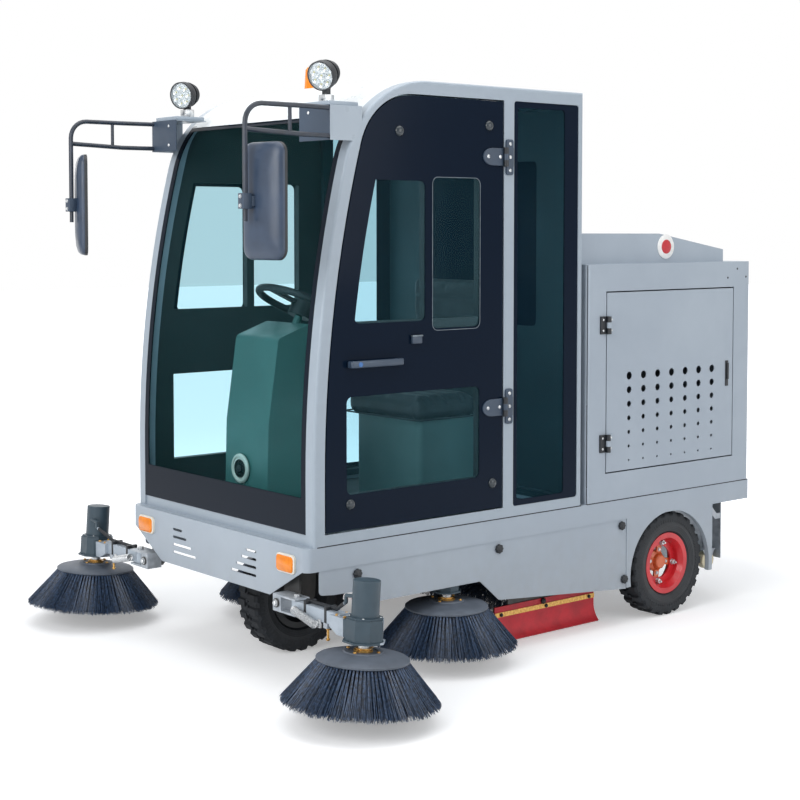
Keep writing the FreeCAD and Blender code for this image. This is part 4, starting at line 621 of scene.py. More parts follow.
def painted_shade_inside_cab(tree, parts):
    """Mask of the frame's faces that look into the cab behind the door's front edge, where shade is painted.
    """
    return within(tree, parts, x=(-1, 540), y=(420, 1195), z=(500, 1975))


# Painted shade: the frame's faces inside the cab take the rear wall's dark tones.
frame_with_painted_inner_shade = split_coat("coated_tube_with_dark_lining", ("#A2AEB9", "#9AA6B2"),
                         [(painted_shade_inside_cab, ("#34494F", "#2A3C42"))], (0.28, 0.38))
motor_tones = ("#334753", "#293A45")
arm_finish = split_coat("cast_arm_with_enamelled_motor", ("#B4BEC8", "#98A3AE"),
                        [(cable_on_arm, ("#22262C", "#15181C")),
                         (near_axis(*front_brush_at, 66, 200), motor_tones)],
                        (0.38, 0.52), 0.3)
mid_arm_finish = split_coat("steel_arm_with_enamelled_motor", ("#2B3138", "#22272D"),
                            [(near_axis(*mid_brush_at, 60, 200), motor_tones)], (0.38, 0.52))
print("split finishes", frame_with_painted_inner_shade.name, arm_finish.name, mid_arm_finish.name)

# %% [markdown]
# ## Dressing the solids
# Every solid of the frame that stays gets its finish in the slot it came with.

# %% Finishes for the CAD nodes
dressing = [
    (chassis_coat, "chassis_frame chassis_rails chassis_brackets brush_housing steering_fork"),
    (body_coat, "lower_body skirt_panels equipment_box tank_cover service_door_*"),
    (black_plastic, "pedals hinge_posts hand_wheel work_lamps door_hardware_*"),
    (carpet, "cab_floor"), (frame_with_painted_inner_shade, "cab_frame"), (roof_coat, "cab_roof"), (wall_coat, "cab_rear_wall"),
    (dark_inner_coat, "door_frame_*"), (console_coat, "dash_console"), (inner_coat, "seat_base"),
    (screen_tint, "windscreen"), (quarter_tint, "cab_windows"), (door_tint, "door_glass_*"),
    (bracket_coat, "mirror_arms"), (mirror_shell, "mirrors"), (amber_acrylic_painted_glow, "beacon signal_lamps"),
    (battery_coat, "battery_pack"), (red_sheet_rubber, "rubber_skirts"), (gold_zinc, "skirt_clamps"),
    (front_enamel, "front_wheel"), (front_tyre_rubber, "front_tyre"), (rear_enamel, "rear_wheel_*"),
    (rear_tyre_rubber, "rear_tyre_*"), (cast_arm, "dust_bin arm_bracket_*"), (caster_coat, "bin_caster_*"),
    (arm_finish, "brush_arm_*"), (mid_arm_finish, "mid_arm_*"), (disc_coat, "front_brush_* mid_brush_*"),
    (bristle_fibre, "main_brush"), (seat_vinyl, "seat_cushion seat_back")]
finish_of = {name.replace("*", side): finish for finish, names in dressing for name in names.split()
             for side, _ in sides}
for name, piece in nodes.items():
    for slot in piece.material_slots:
        slot.material = finish_of[name]
print("dressed", len(finish_of), "of", len(nodes))

# %% [markdown]
# ## Growing repeated things with Geometry Nodes
# Bristles, screws, lugs and ribs repeat by a rule, so a node tree places them. The
# tree gets named inputs, an object carries it as a modifier, and the evaluated
# result is copied out as one plain mesh for one body, which keeps nothing live.

# %% Geometry Nodes helpers
def new_tree(name, inputs):
    """A geometry tree with named inputs; returns it, its inputs by name and their identifiers."""
    tree = bpy.data.node_groups.new(name, "GeometryNodeTree")
    tree.interface.new_socket(name="Geometry", in_out="INPUT", socket_type="NodeSocketGeometry")
    sockets = {}
    for label, kind, value in inputs:
        socket = tree.interface.new_socket(name=label, in_out="INPUT", socket_type="NodeSocket" + kind)
        if value is not None:
            socket.default_value = value
        sockets[label] = socket.identifier
    tree.interface.new_socket(name="Geometry", in_out="OUTPUT", socket_type="NodeSocketGeometry")
    return tree, {socket.name: socket for socket in add_node(tree, "NodeGroupInput").outputs}, sockets


def close_tree(tree, geometry, material):
    """Realize what was placed, give it its material and hand it out."""
    real = add_node(tree, "GeometryNodeRealizeInstances", links={0: geometry})
    done = add_node(tree, "GeometryNodeSetMaterial", links={"Geometry": real, "Material": material})
    add_node(tree, "NodeGroupOutput", links={0: done})


def mesh_piece(name, vertices, faces, material=None):
    """A smooth object at the origin whose mesh is given in the scene's metres."""
    mesh = bpy.data.meshes.new(name)
    mesh.from_pydata([tuple(v) for v in vertices], [], faces)
    if material:
        mesh.materials.append(material)
    mesh.shade_smooth()
    piece = bpy.data.objects.new(name, mesh)
    scene.collection.objects.link(piece)
    return piece


def baked(piece, name):
    """The evaluated mesh of a piece as a plain object of its own."""
    graph = bpy.context.evaluated_depsgraph_get()
    mesh = bpy.data.meshes.new_from_object(piece.evaluated_get(graph), preserve_all_data_layers=True,
                                           depsgraph=graph)
    result = bpy.data.objects.new(name, mesh)
    scene.collection.objects.link(result)
    old = piece.data
    bpy.data.objects.remove(piece)
    if old.users == 0:
        getattr(bpy.data, "curves" if isinstance(old, bpy.types.Curve) else "meshes").remove(old)
    return result


def ready(piece, body):
    """A finished piece rides on its body; its triangle count is printed."""
    print(piece.name, "triangles", sum(len(face.vertices) - 2 for face in piece.data.polygons))
    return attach(piece, body)


def grow(name, grown_tree, values, body, slot, seed_piece=None):
    """Run a tree on a piece, keep the result as a plain mesh and let it ride."""
    tree, sockets = grown_tree
    piece = seed_piece or mesh_piece(name + "_seed", [(0, 0, 0)], [])
    modifier = piece.modifiers.new("grow", "NODES")
    modifier.node_group = tree
    for label, value in values.items():
        modifier[sockets[label]] = value
    return ready(baked(piece, name), body)


print("helpers", new_tree.__name__, close_tree.__name__, grow.__name__)

# %% [markdown]
# ### Bristles of the side brushes
# A side brush is a flat plate with bundles of strands that flare outwards. Each
# strand is a thin four-sided cone, because thousands are needed and only their
# outer faces show. A strand's number says which bundle it belongs to; a seeded
# random value spreads it a little in its bundle, more at the tip than at the root.

# %% The bristle tree
def strand_nodes(tree, points, root, tip, thickness):
    """Place one thin cone on each point, from its root to its tip."""
    away = add_node(tree, "ShaderNodeVectorMath", {"operation": "SUBTRACT"}, {0: tip, 1: root})
    long = add_node(tree, "ShaderNodeVectorMath", {"operation": "LENGTH"}, {0: away}).outputs["Value"]
    turn = add_node(tree, "FunctionNodeAlignRotationToVector", {"axis": "Z"}, {"Vector": away})
    size = add_node(tree, "ShaderNodeCombineXYZ", links={"X": thickness, "Y": thickness, "Z": long})
    set_root = add_node(tree, "GeometryNodeSetPosition", links={"Geometry": points, "Position": root})
    strand = add_node(tree, "GeometryNodeMeshCone", {"fill_type": "NONE", "Vertices": 4, "Side Segments": 1,
                                                     "Radius Top": 0.55, "Radius Bottom": 1.0, "Depth": 1.0})
    return add_node(tree, "GeometryNodeInstanceOnPoints",
                    links={"Points": set_root, "Instance": strand, "Rotation": turn, "Scale": size})


def chance(tree, low, high, seed, number):
    """A seeded random number for each strand."""
    return add_node(tree, "FunctionNodeRandomValue", {"data_type": "FLOAT", 2: low, 3: high},
                    {"Seed": formula(tree, "ADD", seed, number)}).outputs[1]


def circle_point(tree, radius, turn, first, second, **rest):
    """A point on a circle, its cosine along one axis and its sine along the other."""
    return add_node(tree, "ShaderNodeCombineXYZ", links={
        first: formula(tree, "MULTIPLY", radius, ("COSINE", turn)),
        second: formula(tree, "MULTIPLY", radius, ("SINE", turn)), **rest})


tree, given, sockets = new_tree("bristle_ring", [
    ("Strands", "Int", 4200), ("Bundles", "Int", 84), ("Root Inner", "Float", 0.1),
    ("Root Outer", "Float", 0.14),
    ("Tip Inner", "Float", 0.2), ("Tip Outer", "Float", 0.24), ("Root Height", "Float", 0.2),
    ("Tip Height", "Float", 0.06), ("Thickness", "Float", 0.0013), ("Seed", "Int", 1),
    ("Material", "Material", None)])
points = add_node(tree, "GeometryNodePoints", links={"Count": given["Strands"]})
number, seed = add_node(tree, "GeometryNodeInputIndex"), given["Seed"]
bundle = formula(tree, "DIVIDE", ("MODULO", number, given["Bundles"]), given["Bundles"])
angle = formula(tree, "MULTIPLY", bundle, 2 * math.pi)
row = formula(tree, "DIVIDE", ("FLOOR", chance(tree, 0.0, 3.999, seed, 1)), 3.0)
ends = []
for end, spread, draw, share, height in (
        ("Root", 0.017, 2, row, given["Root Height"]),
        ("Tip", 0.042, 3, ("ADD", row, chance(tree, -0.12, 0.12, seed, 4)),
         formula(tree, "ADD", given["Tip Height"], chance(tree, 0.0, 0.012, seed, 5)))):
    inner, outer = given[end + " Inner"], given[end + " Outer"]
    turn = formula(tree, "ADD", angle, chance(tree, -spread, spread, seed, draw), ("MULTIPLY", row, 0.045))
    radius = formula(tree, "ADD", inner, ("MULTIPLY", ("SUBTRACT", outer, inner), share))
    ends.append(circle_point(tree, radius, turn, "X", "Y", Z=height))
close_tree(tree, strand_nodes(tree, points, *ends, given["Thickness"]), given["Material"])
bristle_ring = tree, sockets
print("bristle tree", len(tree.nodes), "nodes")

# %% [markdown]
# ## Making shapes in mesh code
# A few plain ways of making a shape cover almost every small piece here: a skin
# through rings of points, a turned outline, a skin between rounded rectangles, a
# bevelled block and a round bar that follows points. Each ends the same way:
# doubles merged, faces turned outwards, and edges kept sharp where they bend.

# %% Shapes
def tidy(piece, sharp=35):
    """Merge doubles, turn the faces outwards and keep the strongly bent edges sharp."""
    shape = bmesh.new()
    shape.from_mesh(piece.data)
    bmesh.ops.remove_doubles(shape, verts=shape.verts, dist=1e-6)
    bmesh.ops.recalc_face_normals(shape, faces=shape.faces)
    for edge in shape.edges:
        edge.smooth = edge.calc_face_angle(0.0) < math.radians(sharp)
    shape.to_mesh(piece.data)
    shape.free()
    return piece


def skin(name, rings, material, loop=False, sharp=35):
    """A closed surface through rings of points; a loop joins the last ring to the first."""
    count = len(rings[0])
    vertices = [point for ring in rings for point in ring]
    faces = []
    for r in range(len(rings) if loop else len(rings) - 1):
        a, b = r * count, (r + 1) % len(rings) * count
        faces += [(a + n, a + (n + 1) % count, b + (n + 1) % count, b + n) for n in range(count)]
    if not loop:
        faces += [tuple(range(count)), tuple(range(len(vertices) - count, len(vertices)))]
    return tidy(mesh_piece(name, vertices, faces, material), sharp)


def turned(name, outline, place, material, segments=48, lobes=0, lobe_depth=0.0):
    """Turn (radius, height) points in millimetres about Z; lobes make the edge wavy."""
    rings = []
    for radius, height in outline:
        ring = []
        for n in range(segments):
            a = 2 * math.pi * n / segments
            r = radius * (1 - lobe_depth * (1 - math.cos(lobes * a)) / 2)
            ring.append(place @ (Vector((r * math.cos(a), r * math.sin(a), height)) * mm))
        rings.append(ring)
    return skin(name, rings, material, sharp=60 if lobes else 35)


def rounded(half_a, half_b, corner, height, steps=5):
    """A rounded rectangle as points (a, b, height) in millimetres."""
    points = []
    for quarter, (a, b) in enumerate(((1, 1), (-1, 1), (-1, -1), (1, -1))):
        for n in range(steps + 1):
            turn = math.pi / 2 * (quarter + n / steps)
            points.append((a * (half_a - corner) + corner * math.cos(turn),
                           b * (half_b - corner) + corner * math.sin(turn), height))
    return points


def lofted(name, outlines, place, material, loop=False):
    """A skin through outlines of (a, b, height) points, put in place with a matrix."""
    rings = [[place @ (Vector(point) * mm) for point in outline] for outline in outlines]
    return skin(name, rings, material, loop)


def facing(point, way, up=(0, 0, 1)):
    """The matrix that stands things on a point: its Z axis points the way, its Y axis up."""
    out = Vector(way).normalized()
    across = Vector(up).cross(out).normalized()
    turn = Matrix((across, out.cross(across), out)).transposed().to_4x4()
    return Matrix.Translation(point) @ turn


def block(name, low, high, material, bevel=1.5):
    """A bevelled box between two drawing points."""
    a, b = at(*low), at(*high)
    shape = bmesh.new()
    bmesh.ops.create_cube(shape, size=1.0)
    size = Matrix.Diagonal([abs(b[n] - a[n]) for n in range(3)] + [1])
    bmesh.ops.transform(shape, matrix=Matrix.Translation((a + b) / 2) @ size, verts=shape.verts)
    bmesh.ops.bevel(shape, geom=shape.edges[:], offset=bevel * mm, segments=2, affect="EDGES", profile=0.5)
    piece = mesh_piece(name, [], [], material)
    shape.to_mesh(piece.data)
    shape.free()
    piece.data.shade_smooth()
    return tidy(piece, 50)


def tube(name, points, radius, material, facets=8, loop=False):
    """A round bar that follows points, radius in millimetres."""
    count = len(points)
    rings = []
    normal = None
    for n, point in enumerate(points):
        ahead = points[(n + 1) % count] if loop or n < count - 1 else point
        behind = points[n - 1] if loop or n else point
        along = (ahead - behind).normalized()
        normal = normal or along.orthogonal()
        normal = (normal - along * normal.dot(along)).normalized()
        across = along.cross(normal)
        rings.append([point + (normal * math.cos(a) + across * math.sin(a)) * radius * mm
                      for a in (2 * math.pi * k / facets for k in range(facets))])
    return skin(name, rings, material, loop, 60)


def join_pieces(name, pieces):
    """One object out of several that share a body."""
    shape = bmesh.new()
    materials = []
    for piece in pieces:
        for material in piece.data.materials:
            if material not in materials:
                materials.append(material)
        own = [materials.index(material) for material in piece.data.materials]
        first = len(shape.faces)
        shape.from_mesh(piece.data)
        shape.faces.ensure_lookup_table()
        for face in shape.faces[first:]:
            face.material_index = own[face.material_index]
    mesh = bpy.data.meshes.new(name)
    shape.to_mesh(mesh)
    shape.free()
    for material in materials:
        mesh.materials.append(material)
    result = bpy.data.objects.new(name, mesh)
    scene.collection.objects.link(result)
    for piece in pieces:
        bpy.data.objects.remove(piece)
    return result


def assemble(name, parts, body, node=None):
    """Parts that become one piece on a body, and may stand for a node of the frame."""
    piece = ready(join_pieces(name, parts), body)
    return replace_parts(piece, node) if node else piece


def around(count, radius, start=0.0):
    """Places evenly round a circle, in millimetres from its centre."""
    return [(radius * math.cos(a), radius * math.sin(a))
            for a in (start + n * 2 * math.pi / count for n in range(count))]


print("shapes ready", [shape.__name__ for shape in (skin, turned, lofted, block, tube)])

# %% [markdown]
# ## The side brushes
# A plate carries bundles of strands that flare outwards. The plate is a turned
# shape with a brass-coloured coupling ring. The front brushes lean back by four
# degrees about the point on their shaft at 150 mm height, as their solids do. A
# near-black cone inside the ring is painted shade: it stops light from showing
# between the strands, as the inner rows do on a real brush.

# %% Side brushes
brush_lean, lean_height = math.radians(-4), 150


def brush_frame(x, y, lean):
    """Places things drawn about a brush's shaft, leaning about one point of it."""
    return (Matrix.Translation(at(x, y, lean_height)) @ Matrix.Rotation(lean, 4, "X")
            @ Matrix.Translation((0, 0, -lean_height * mm)))


brush_places = {}
for side, s in sides:
    for name, body, (x, y), lean in (("front_brush_", "side_brush_", front_brush_at, brush_lean),
                                     ("mid_brush_", "inner_brush_", mid_brush_at, 0)):
        brush_places[name + side] = brush_frame(s * x, y, lean), body + side
plate_outline = [(0, 222), (44, 222), (46, 224), (60, 224), (64, 220), (112, 213), (138, 206), (145, 201),
                 (145, 196), (138, 192), (60, 192), (0, 192)]
hub_outline = [(0, 232), (24, 232), (24, 229), (30, 228), (30, 222), (0, 221)]
shaft_outline = [(0, 249.4), (12, 249.4), (12, 240), (17, 240), (17, 231), (0, 231)]
shade_outline = [(0, 196), (104, 196), (212, 72), (208, 70), (98, 186), (0, 186)]
for number, (name, (place, body)) in enumerate(brush_places.items()):
    parts = [turned(name + "_plate", plate_outline, place, disc_coat, 64),
             turned(name + "_hub", hub_outline, place, gold_zinc, 24),
             turned(name + "_shaft", shaft_outline, place, zinc, 24),
             turned(name + "_shade", shade_outline, place, bristle_shade, 48)]
    assemble(name + "_carrier", parts, body, name)
    values = {"Root Inner": 0.100, "Root Outer": 0.139, "Tip Inner": 0.200, "Tip Outer": 0.243,
              "Root Height": 0.196, "Tip Height": 0.062, "Seed": 11 + number, "Material": bristle_fibre}
    bristles = grow(name + "_bristles", bristle_ring, values, body, "bristle")
    bristles.data.transform(place)

# %% [markdown]
# ## The main brush
# A roller with bristles in helical rows throws the dirt into the bin. Every strand
# gets a place along the roller by chance, and its row says at which angle it
# stands: the rows twist half a turn from one end to the other.

# %% The roller tree and the roller
tree, given, sockets = new_tree("bristle_roll", [
    ("Strands", "Int", 5600), ("Rows", "Int", 10), ("Half Length", "Float", 0.39), ("Root", "Float", 0.062),
    ("Tip", "Float", 0.163), ("Twist", "Float", math.pi), ("Thickness", "Float", 0.0014), ("Seed", "Int", 5),
    ("Material", "Material", None)])
points = add_node(tree, "GeometryNodePoints", links={"Count": given["Strands"]})
number, seed = add_node(tree, "GeometryNodeInputIndex"), given["Seed"]
row = formula(tree, "DIVIDE", ("MODULO", number, given["Rows"]), given["Rows"])
share = chance(tree, -1.0, 1.0, seed, 1)
angle = formula(tree, "ADD", ("MULTIPLY", row, 2 * math.pi),
                ("MULTIPLY", share, ("DIVIDE", given["Twist"], 2.0)))
along = formula(tree, "MULTIPLY", share, given["Half Length"])
ends = []
for end, draw, spread in (("Root", 2, 0.05), ("Tip", 3, 0.09)):
    turn = formula(tree, "ADD", angle, chance(tree, -spread, spread, seed, draw))
    radius = formula(tree, "ADD", given[end], chance(tree, -0.004, 0.0, seed, draw + 2))
    ends.append(circle_point(tree, radius, turn, "Y", "Z", X=along))
close_tree(tree, strand_nodes(tree, points, *ends, given["Thickness"]), given["Material"])
bristle_roll = tree, sockets

roller_centre = at(0, 1165, 182)
across_roller = facing(roller_centre, (1, 0, 0))
core = [(0, -395), (64, -395), (66, -392), (66, 392), (64, 395), (0, 395)]
shaft = [(0, -406), (14, -406), (14, 406), (0, 406)]
# The core is painted shade in the near black of the bristle roots.
assemble("main_brush_core", [turned("roller_core", core, across_roller, bristle_shade, 32),
                             turned("roller_shaft", shaft, across_roller, zinc, 20)],
         "roller", "main_brush")
roll = grow("main_brush_bristles", bristle_roll, {"Material": bristle_fibre}, "roller", "bristle")
roll.data.transform(Matrix.Translation(roller_centre))

# %% [markdown]
# ## Fasteners
# Screws, nuts and knobs are the same few heads in many places. A tree puts a head
# on every point of a seed mesh; two attributes of each point say which way its
# head faces and how large it is. A head is drawn 1 m across, so the attribute is
# simply its real size.

# %% The fastener tree
tree, given, sockets = new_tree("fasteners", [("Head", "Object", None), ("Material", "Material", None)])
head = add_node(tree, "GeometryNodeObjectInfo", {"transform_space": "ORIGINAL"}, {"Object": given["Head"]})
way = add_node(tree, "GeometryNodeInputNamedAttribute", {"data_type": "FLOAT_VECTOR", "Name": "way"})
across = add_node(tree, "GeometryNodeInputNamedAttribute", {"data_type": "FLOAT", "Name": "across"})
turn = add_node(tree, "FunctionNodeAlignRotationToVector", {"axis": "Z"},
                {"Vector": way.outputs["Attribute"]})
placed = add_node(tree, "GeometryNodeInstanceOnPoints", links={
    "Points": given["Geometry"], "Instance": head.outputs["Geometry"], "Rotation": turn,
    "Scale": across.outputs["Attribute"]})
close_tree(tree, placed, given["Material"])
fasteners = tree, sockets
print("fastener tree", len(tree.nodes), "nodes")


def fasten(name, head, material, spots, body, slot="bright_steel"):
    """One head on every spot: a point, the way it faces, and its size across in millimetres."""
    piece = mesh_piece(name + "_spots", [point for point, _, _ in spots], [])
    attributes = piece.data.attributes
    attributes.new("way", "FLOAT_VECTOR", "POINT")
    attributes.new("across", "FLOAT", "POINT")
    for n, (_, direction, size) in enumerate(spots):
        attributes["way"].data[n].vector = direction
        attributes["across"].data[n].value = size * mm
    return grow(name, fasteners, {"Head": head, "Material": material}, body, slot, piece)


# %% Heads
origin = Matrix.Identity(4)
heads = {name: turned(name + "_head", outline, origin, coat, *form) for name, coat, form, outline in (
    ("screw", zinc, (16,), [(0, 120), (150, 120), (180, 260), (330, 220), (450, 120), (500, 0), (0, 0)]),
    ("button", zinc, (24,), [(0, 300), (180, 285), (330, 235), (440, 150), (500, 60), (500, 0), (0, 0)]),
    ("knob", black_plastic, (48, 8, 0.16), [(0, 420), (200, 420), (230, 360), (440, 330), (500, 250),
                                            (500, 60), (440, 0), (0, 0)]),
    ("hole", black_plastic, (12,), [(0, 30), (500, 30), (500, 0), (0, 0)]))}
heads["bolt"] = join_pieces("bolt_head", [
    turned("washer", [(0, 80), (500, 80), (500, 0), (0, 0)], origin, zinc, 18),
    turned("hexagon", [(0, 380), (330, 380), (400, 330), (400, 70), (0, 70)], origin, zinc, 6)])
heads["nut"] = join_pieces("nut_head", [
    turned("nut_cone", [(0, 120), (440, 120), (500, 0), (0, 0)], origin, zinc, 18),
    turned("nut_hexagon", [(0, 520), (360, 520), (430, 460), (430, 110), (0, 110)], origin, zinc, 6),
    turned("stud", [(0, 900), (140, 900), (180, 850), (180, 500), (0, 500)], origin, zinc, 12)])
print("heads", list(heads))

# %% [markdown]
# The heads now go to their places. What is listed for the left side is mirrored to
# the right, and what moves with a door or a wheel rides on that body.

# %% Screws, nuts and knobs
wheel_turn = math.radians(-8)
glass_face, leaf_face = 546.1, 552.4
for side, s in sides:
    out = (s, 0, 0)
    door, flap, wheel = "door_" + side, "service_flap_" + side, "back_wheel_" + side
    fasten("panel_knobs_" + side, heads["knob"], black_plastic, [
        (at(s * 543, y, z), out, 34) for y, z in ((165, 382), (798, 381), (1433, 386), (1448, 180))],
        "chassis", "black_plastic")
    fasten("glass_buttons_" + side, heads["button"], button_plastic, [
        (at(s * glass_face, y, z), out, 36) for y, z in ((343, 1829), (745, 1862), (136, 613), (764, 618))],
        door)
    for name, x, stations, levels, lifts, size, body in (
            ("door_leaf_screws_", leaf_face, (738, 794), door_hinge_levels, (0,), 14, door),
            ("pillar_leaf_screws_", 553.2, (840,), door_hinge_levels, (-46, 0, 46), 13, "chassis"),
            ("service_post_screws_", leaf_face, (1320,), flap_hinge_levels, (-20, 20), 9, "chassis"),
            ("service_leaf_screws_", 552.1, (1365,), flap_hinge_levels, (-20, 20), 9, flap)):
        fasten(name + side, heads["screw"], zinc, [
            (at(s * x, y, z + lift), out, size) for y in stations for z in levels for lift in lifts], body)
    for name, head, x, radius, size in (("wheel_nuts_", "nut", 491, 76, 24),
                                        ("hub_screws_", "bolt", 483, 46, 14)):
        fasten(name + side, heads[head], zinc, [
            (at(s * x, rear_wheel_y + a, wheel_radius + b), out, size)
            for a, b in around(4, radius, wheel_turn)], wheel)
    for name, head, spots in (
            ("clamp_bolts_", "bolt", [(at(s * 414, y, 98), out, 15) for y in (935, 1165, 1395)]),
            ("clamp_knob_", "knob", [(at(s * 411, 1150, 118), out, 24)]),
            ("box_holes_", "hole", [(at(s * 546, y, z), out, 9) for y, z in ((2105, 1346), (2046, 1311),
                                                                           (2160, 1313))])):
        fasten(name + side, heads[head], black_plastic, spots, "chassis", "black_plastic")

# %% [markdown]
# ## The front brush arms
# Each arm is a square tube on an upright pin, with the motor's cable strapped along
# its top and a tension spring below that holds the brush out. The gear case is
# closed with bolts round its flanges.

# %% Springs, straps and bolts on the arms
def coil(start, end, radius, turns):
    """The points of a coil spring from one point to another, with a straight hook at each end."""
    per_turn, hook_share = 14, 0.08
    axis = (end - start).normalized()
    one = axis.orthogonal()
    two = axis.cross(one)
    hook = (end - start) * hook_share
    points = [start]
    for n in range(turns * per_turn + 1):
        a = 2 * math.pi * n / per_turn
        middle = start + hook + (end - start - 2 * hook) * (n / (turns * per_turn))
        points.append(middle + (one * math.cos(a) + two * math.sin(a)) * radius * mm)
    return points + [end]


for side, s in sides:
    arm, lift = "arm_swing_" + side, "arm_lift_" + side
    parts = [block("strap", (s * (x - 6), -59, 277), (s * (x + 6), -16, 330), black_plastic)
             for x in (560, 668)]
    assemble("arm_fittings_" + side, parts + [
        tube("spring", coil(at(s * 506, -70, 297), at(s * 640, -70, 265), 9, 26), 1.5, spring_steel, 6),
        tube("spring_pin", [at(s * 640, -56, 265), at(s * 640, -75, 265)], 3, zinc),
        block("spring_lug", (s * 632, -62, 258), (s * 648, -56, 285), zinc, 1),
        tube("stop_screw", [at(s * 672, -50, 280), at(s * 672, -50, 222)], 4, gold_zinc),
        block("stop_lug", (s * 662, -62, 262), (s * 682, -38, 279), cast_arm, 1.5)], arm)
    place = brush_places["front_brush_" + side][0]
    up = place.to_3x3() @ Vector((0, 0, 1))
    fasten("motor_screws_" + side, heads["screw"], zinc, [
        (place @ (Vector((a, b, 328)) * mm), up, 8) for a, b in around(4, 47.5, math.pi / 4)], arm)
    fasten("shoe_bolts_" + side, heads["bolt"], gold_zinc, [
        (at(s * x, y, 314), (0, 0, 1), 13) for x in (726, 766) for y in (-56, -19)], arm)
    fasten("stop_nuts_" + side, heads["bolt"], gold_zinc, [
        (at(s * 672, -50, z), (0, 0, -1), 15) for z in (262, 228)], arm)
    fasten("swing_bolt_" + side, heads["bolt"], zinc, [(at(s * 492, -37.5, 326), (0, 0, 1), 26)], lift)
    fasten("lift_bolt_" + side, heads["bolt"], zinc, [(at(s * 418, -70.4, 298), (0, -1, 0), 22)], "chassis")
for name, (place, body) in brush_places.items():
    up = place.to_3x3() @ Vector((0, 0, 1))
    fasten(name + "_bolts", heads["bolt"], gold_zinc, [
        (place @ (Vector((a, b, 224)) * mm), up, 12) for a, b in around(4, 53, 0.4)], body)

# %% [markdown]
# ## Lamps
# A work lamp has a black finned housing, a silver reflector with a ring of small
# cups, and a clear glass. It stands on a short stem in a bright clevis on a plate.
# Both lamps are aimed a little to the left and down, as the driver has set them.

# %% Work lamps
housing = [(0, -44), (22, -44), (29, -40), (32, -31), (37, -30), (37, -26), (32, -26), (32, -21), (41, -20),
           (41, -15), (35, -15), (35, -10), (45, -9), (45, -4), (39, -4), (39, 2), (46, 4), (48, 9), (49, 14),
           (49, 36),
           (45, 36), (45, 26), (0, 26)]
lamp_x, lamp_y = 425, 132
lamp_aims = {"left": (2012, 21, 18), "right": (1998, 21, 9)}
for side, s in sides:
    height, turn, dip = lamp_aims[side]
    turn, dip = math.radians(turn), math.radians(dip)
    aim = (math.sin(turn) * math.cos(dip), -math.cos(turn) * math.cos(dip), -math.sin(dip))
    lamp = facing(at(s * lamp_x, lamp_y, height), aim)
    parts = [turned("housing", housing, lamp, black_plastic, 40),
             turned("reflector", [(0, 26), (45, 26), (45, 27), (0, 27)], lamp, led_cup, 32),
             turned("lamp_glass", [(0, 35), (45.6, 35), (45.6, 34), (0, 34)], lamp, clear_acrylic, 32)]
    for a, b in around(7, 29) + [(0, 0)]:
        spot = lamp @ Matrix.Translation(Vector((a, b, 27)) * mm)
        parts += [turned("cup", [(0, 1), (5, 1), (11, 5), (12, 5), (12, 0), (0, 0)], spot, led_cup, 16),
                  turned("chip", [(0, 2.4), (3.4, 2.4), (3.4, 1), (0, 1)], spot, led_chip, 8)]
    parts += [block("plate", (s * 388, 64, 1902.5), (s * 530, 184, 1916), frame_coat, 2),
              block("clevis", (s * 405, 116, 1915), (s * 445, 152, 1944), zinc, 2),
              block("stem", (s * 414, 123, 1938), (s * 436, 145, height - 40), black_plastic, 3)]
    assemble("work_lamp_" + side, parts, "chassis", "work_lamps")
    fasten("lamp_bolts_" + side, heads["bolt"], zinc, [
        (at(s * lamp_x, 116, 1930), (0, -1, 0), 15), (at(s * 400, 134, 1916), (0, 0, 1), 12),
        (at(s * 480, 134, 1916), (0, 0, 1), 12)], "chassis")

# %% [markdown]
# The warning beacon is a ribbed amber dome on a black base. The signal lamps have a
# cream base with an amber glass at the front and a red one at the tail. The amber
# dome and glasses carry a faint painted glow.

# %% Beacon and signal lamps
stand = facing(at(-200, 560, 0), (0, 0, 1), (0, 1, 0))
base = [(0, 2008), (50, 2008), (50, 2015), (48, 2017), (0, 2017)]
dome = [(0, 2017), (49, 2017), (49, 2026), (47, 2029), (43, 2096), (37, 2107), (20, 2112), (0, 2112)]
assemble("warning_beacon", [turned("beacon_base", base, stand, black_plastic, 40),
                            turned("beacon_dome", dome, stand, amber_acrylic_painted_glow, 96, 24, 0.05)],
         "chassis", "beacon")
for side, s in sides:
    front, tail = facing(at(s * 438, -40, 427), (0, -1, 0)), facing(at(s * 438, 2187, 448), (0, 1, 0))
    parts = [lofted(name, [rounded(*ring) for ring in rings], place, coat) for name, rings, place, coat in (
        ("base", [(50, 31, 15, 0), (50, 31, 15, 7), (47, 28, 13, 9)], front, cream_plastic),
        ("glass", [(45, 26, 12, 8), (45, 26, 12, 11), (41, 22, 10, 14)], front, amber_acrylic_painted_glow),
        ("tail_base", [(50, 15.5, 7, 0), (50, 15.5, 7, 3)], tail, black_plastic),
        ("tail_glass", [(46, 12.5, 6, 2), (46, 12.5, 6, 6), (43, 10, 5, 8)], tail, red_acrylic))]
    assemble("signal_lamps_" + side, parts, "chassis", "signal_lamps")

# %% [markdown]
# ## Mirrors
# A mirror head is a shell with a crowned back, a dark rim and a silvered glass on
# the driver's side. The driver has turned the right one further inwards. The arm
# is bent from round tube, so its corners are arcs; the bracket keeps its solid's
# shape, with a slate front plate on parts painted like the cab.

# %% Mirror arms and heads
def bent(points, radius):
    """The points of a bar that turns each corner on an arc, radius in millimetres."""
    steps = 7
    path = [points[0]]
    for before, corner, after in zip(points, points[1:], points[2:]):
        a, b = (before - corner).normalized(), (after - corner).normalized()
        half_turn = a.angle(b) / 2
        reach = radius * mm / math.tan(half_turn)
        centre = corner + (a + b).normalized() * radius * mm / math.sin(half_turn)
        start, end = (corner + a * reach - centre).normalized(), (corner + b * reach - centre).normalized()
        path += [centre + start.slerp(end, n / steps) * radius * mm for n in range(steps + 1)]
    return path + [points[-1]]


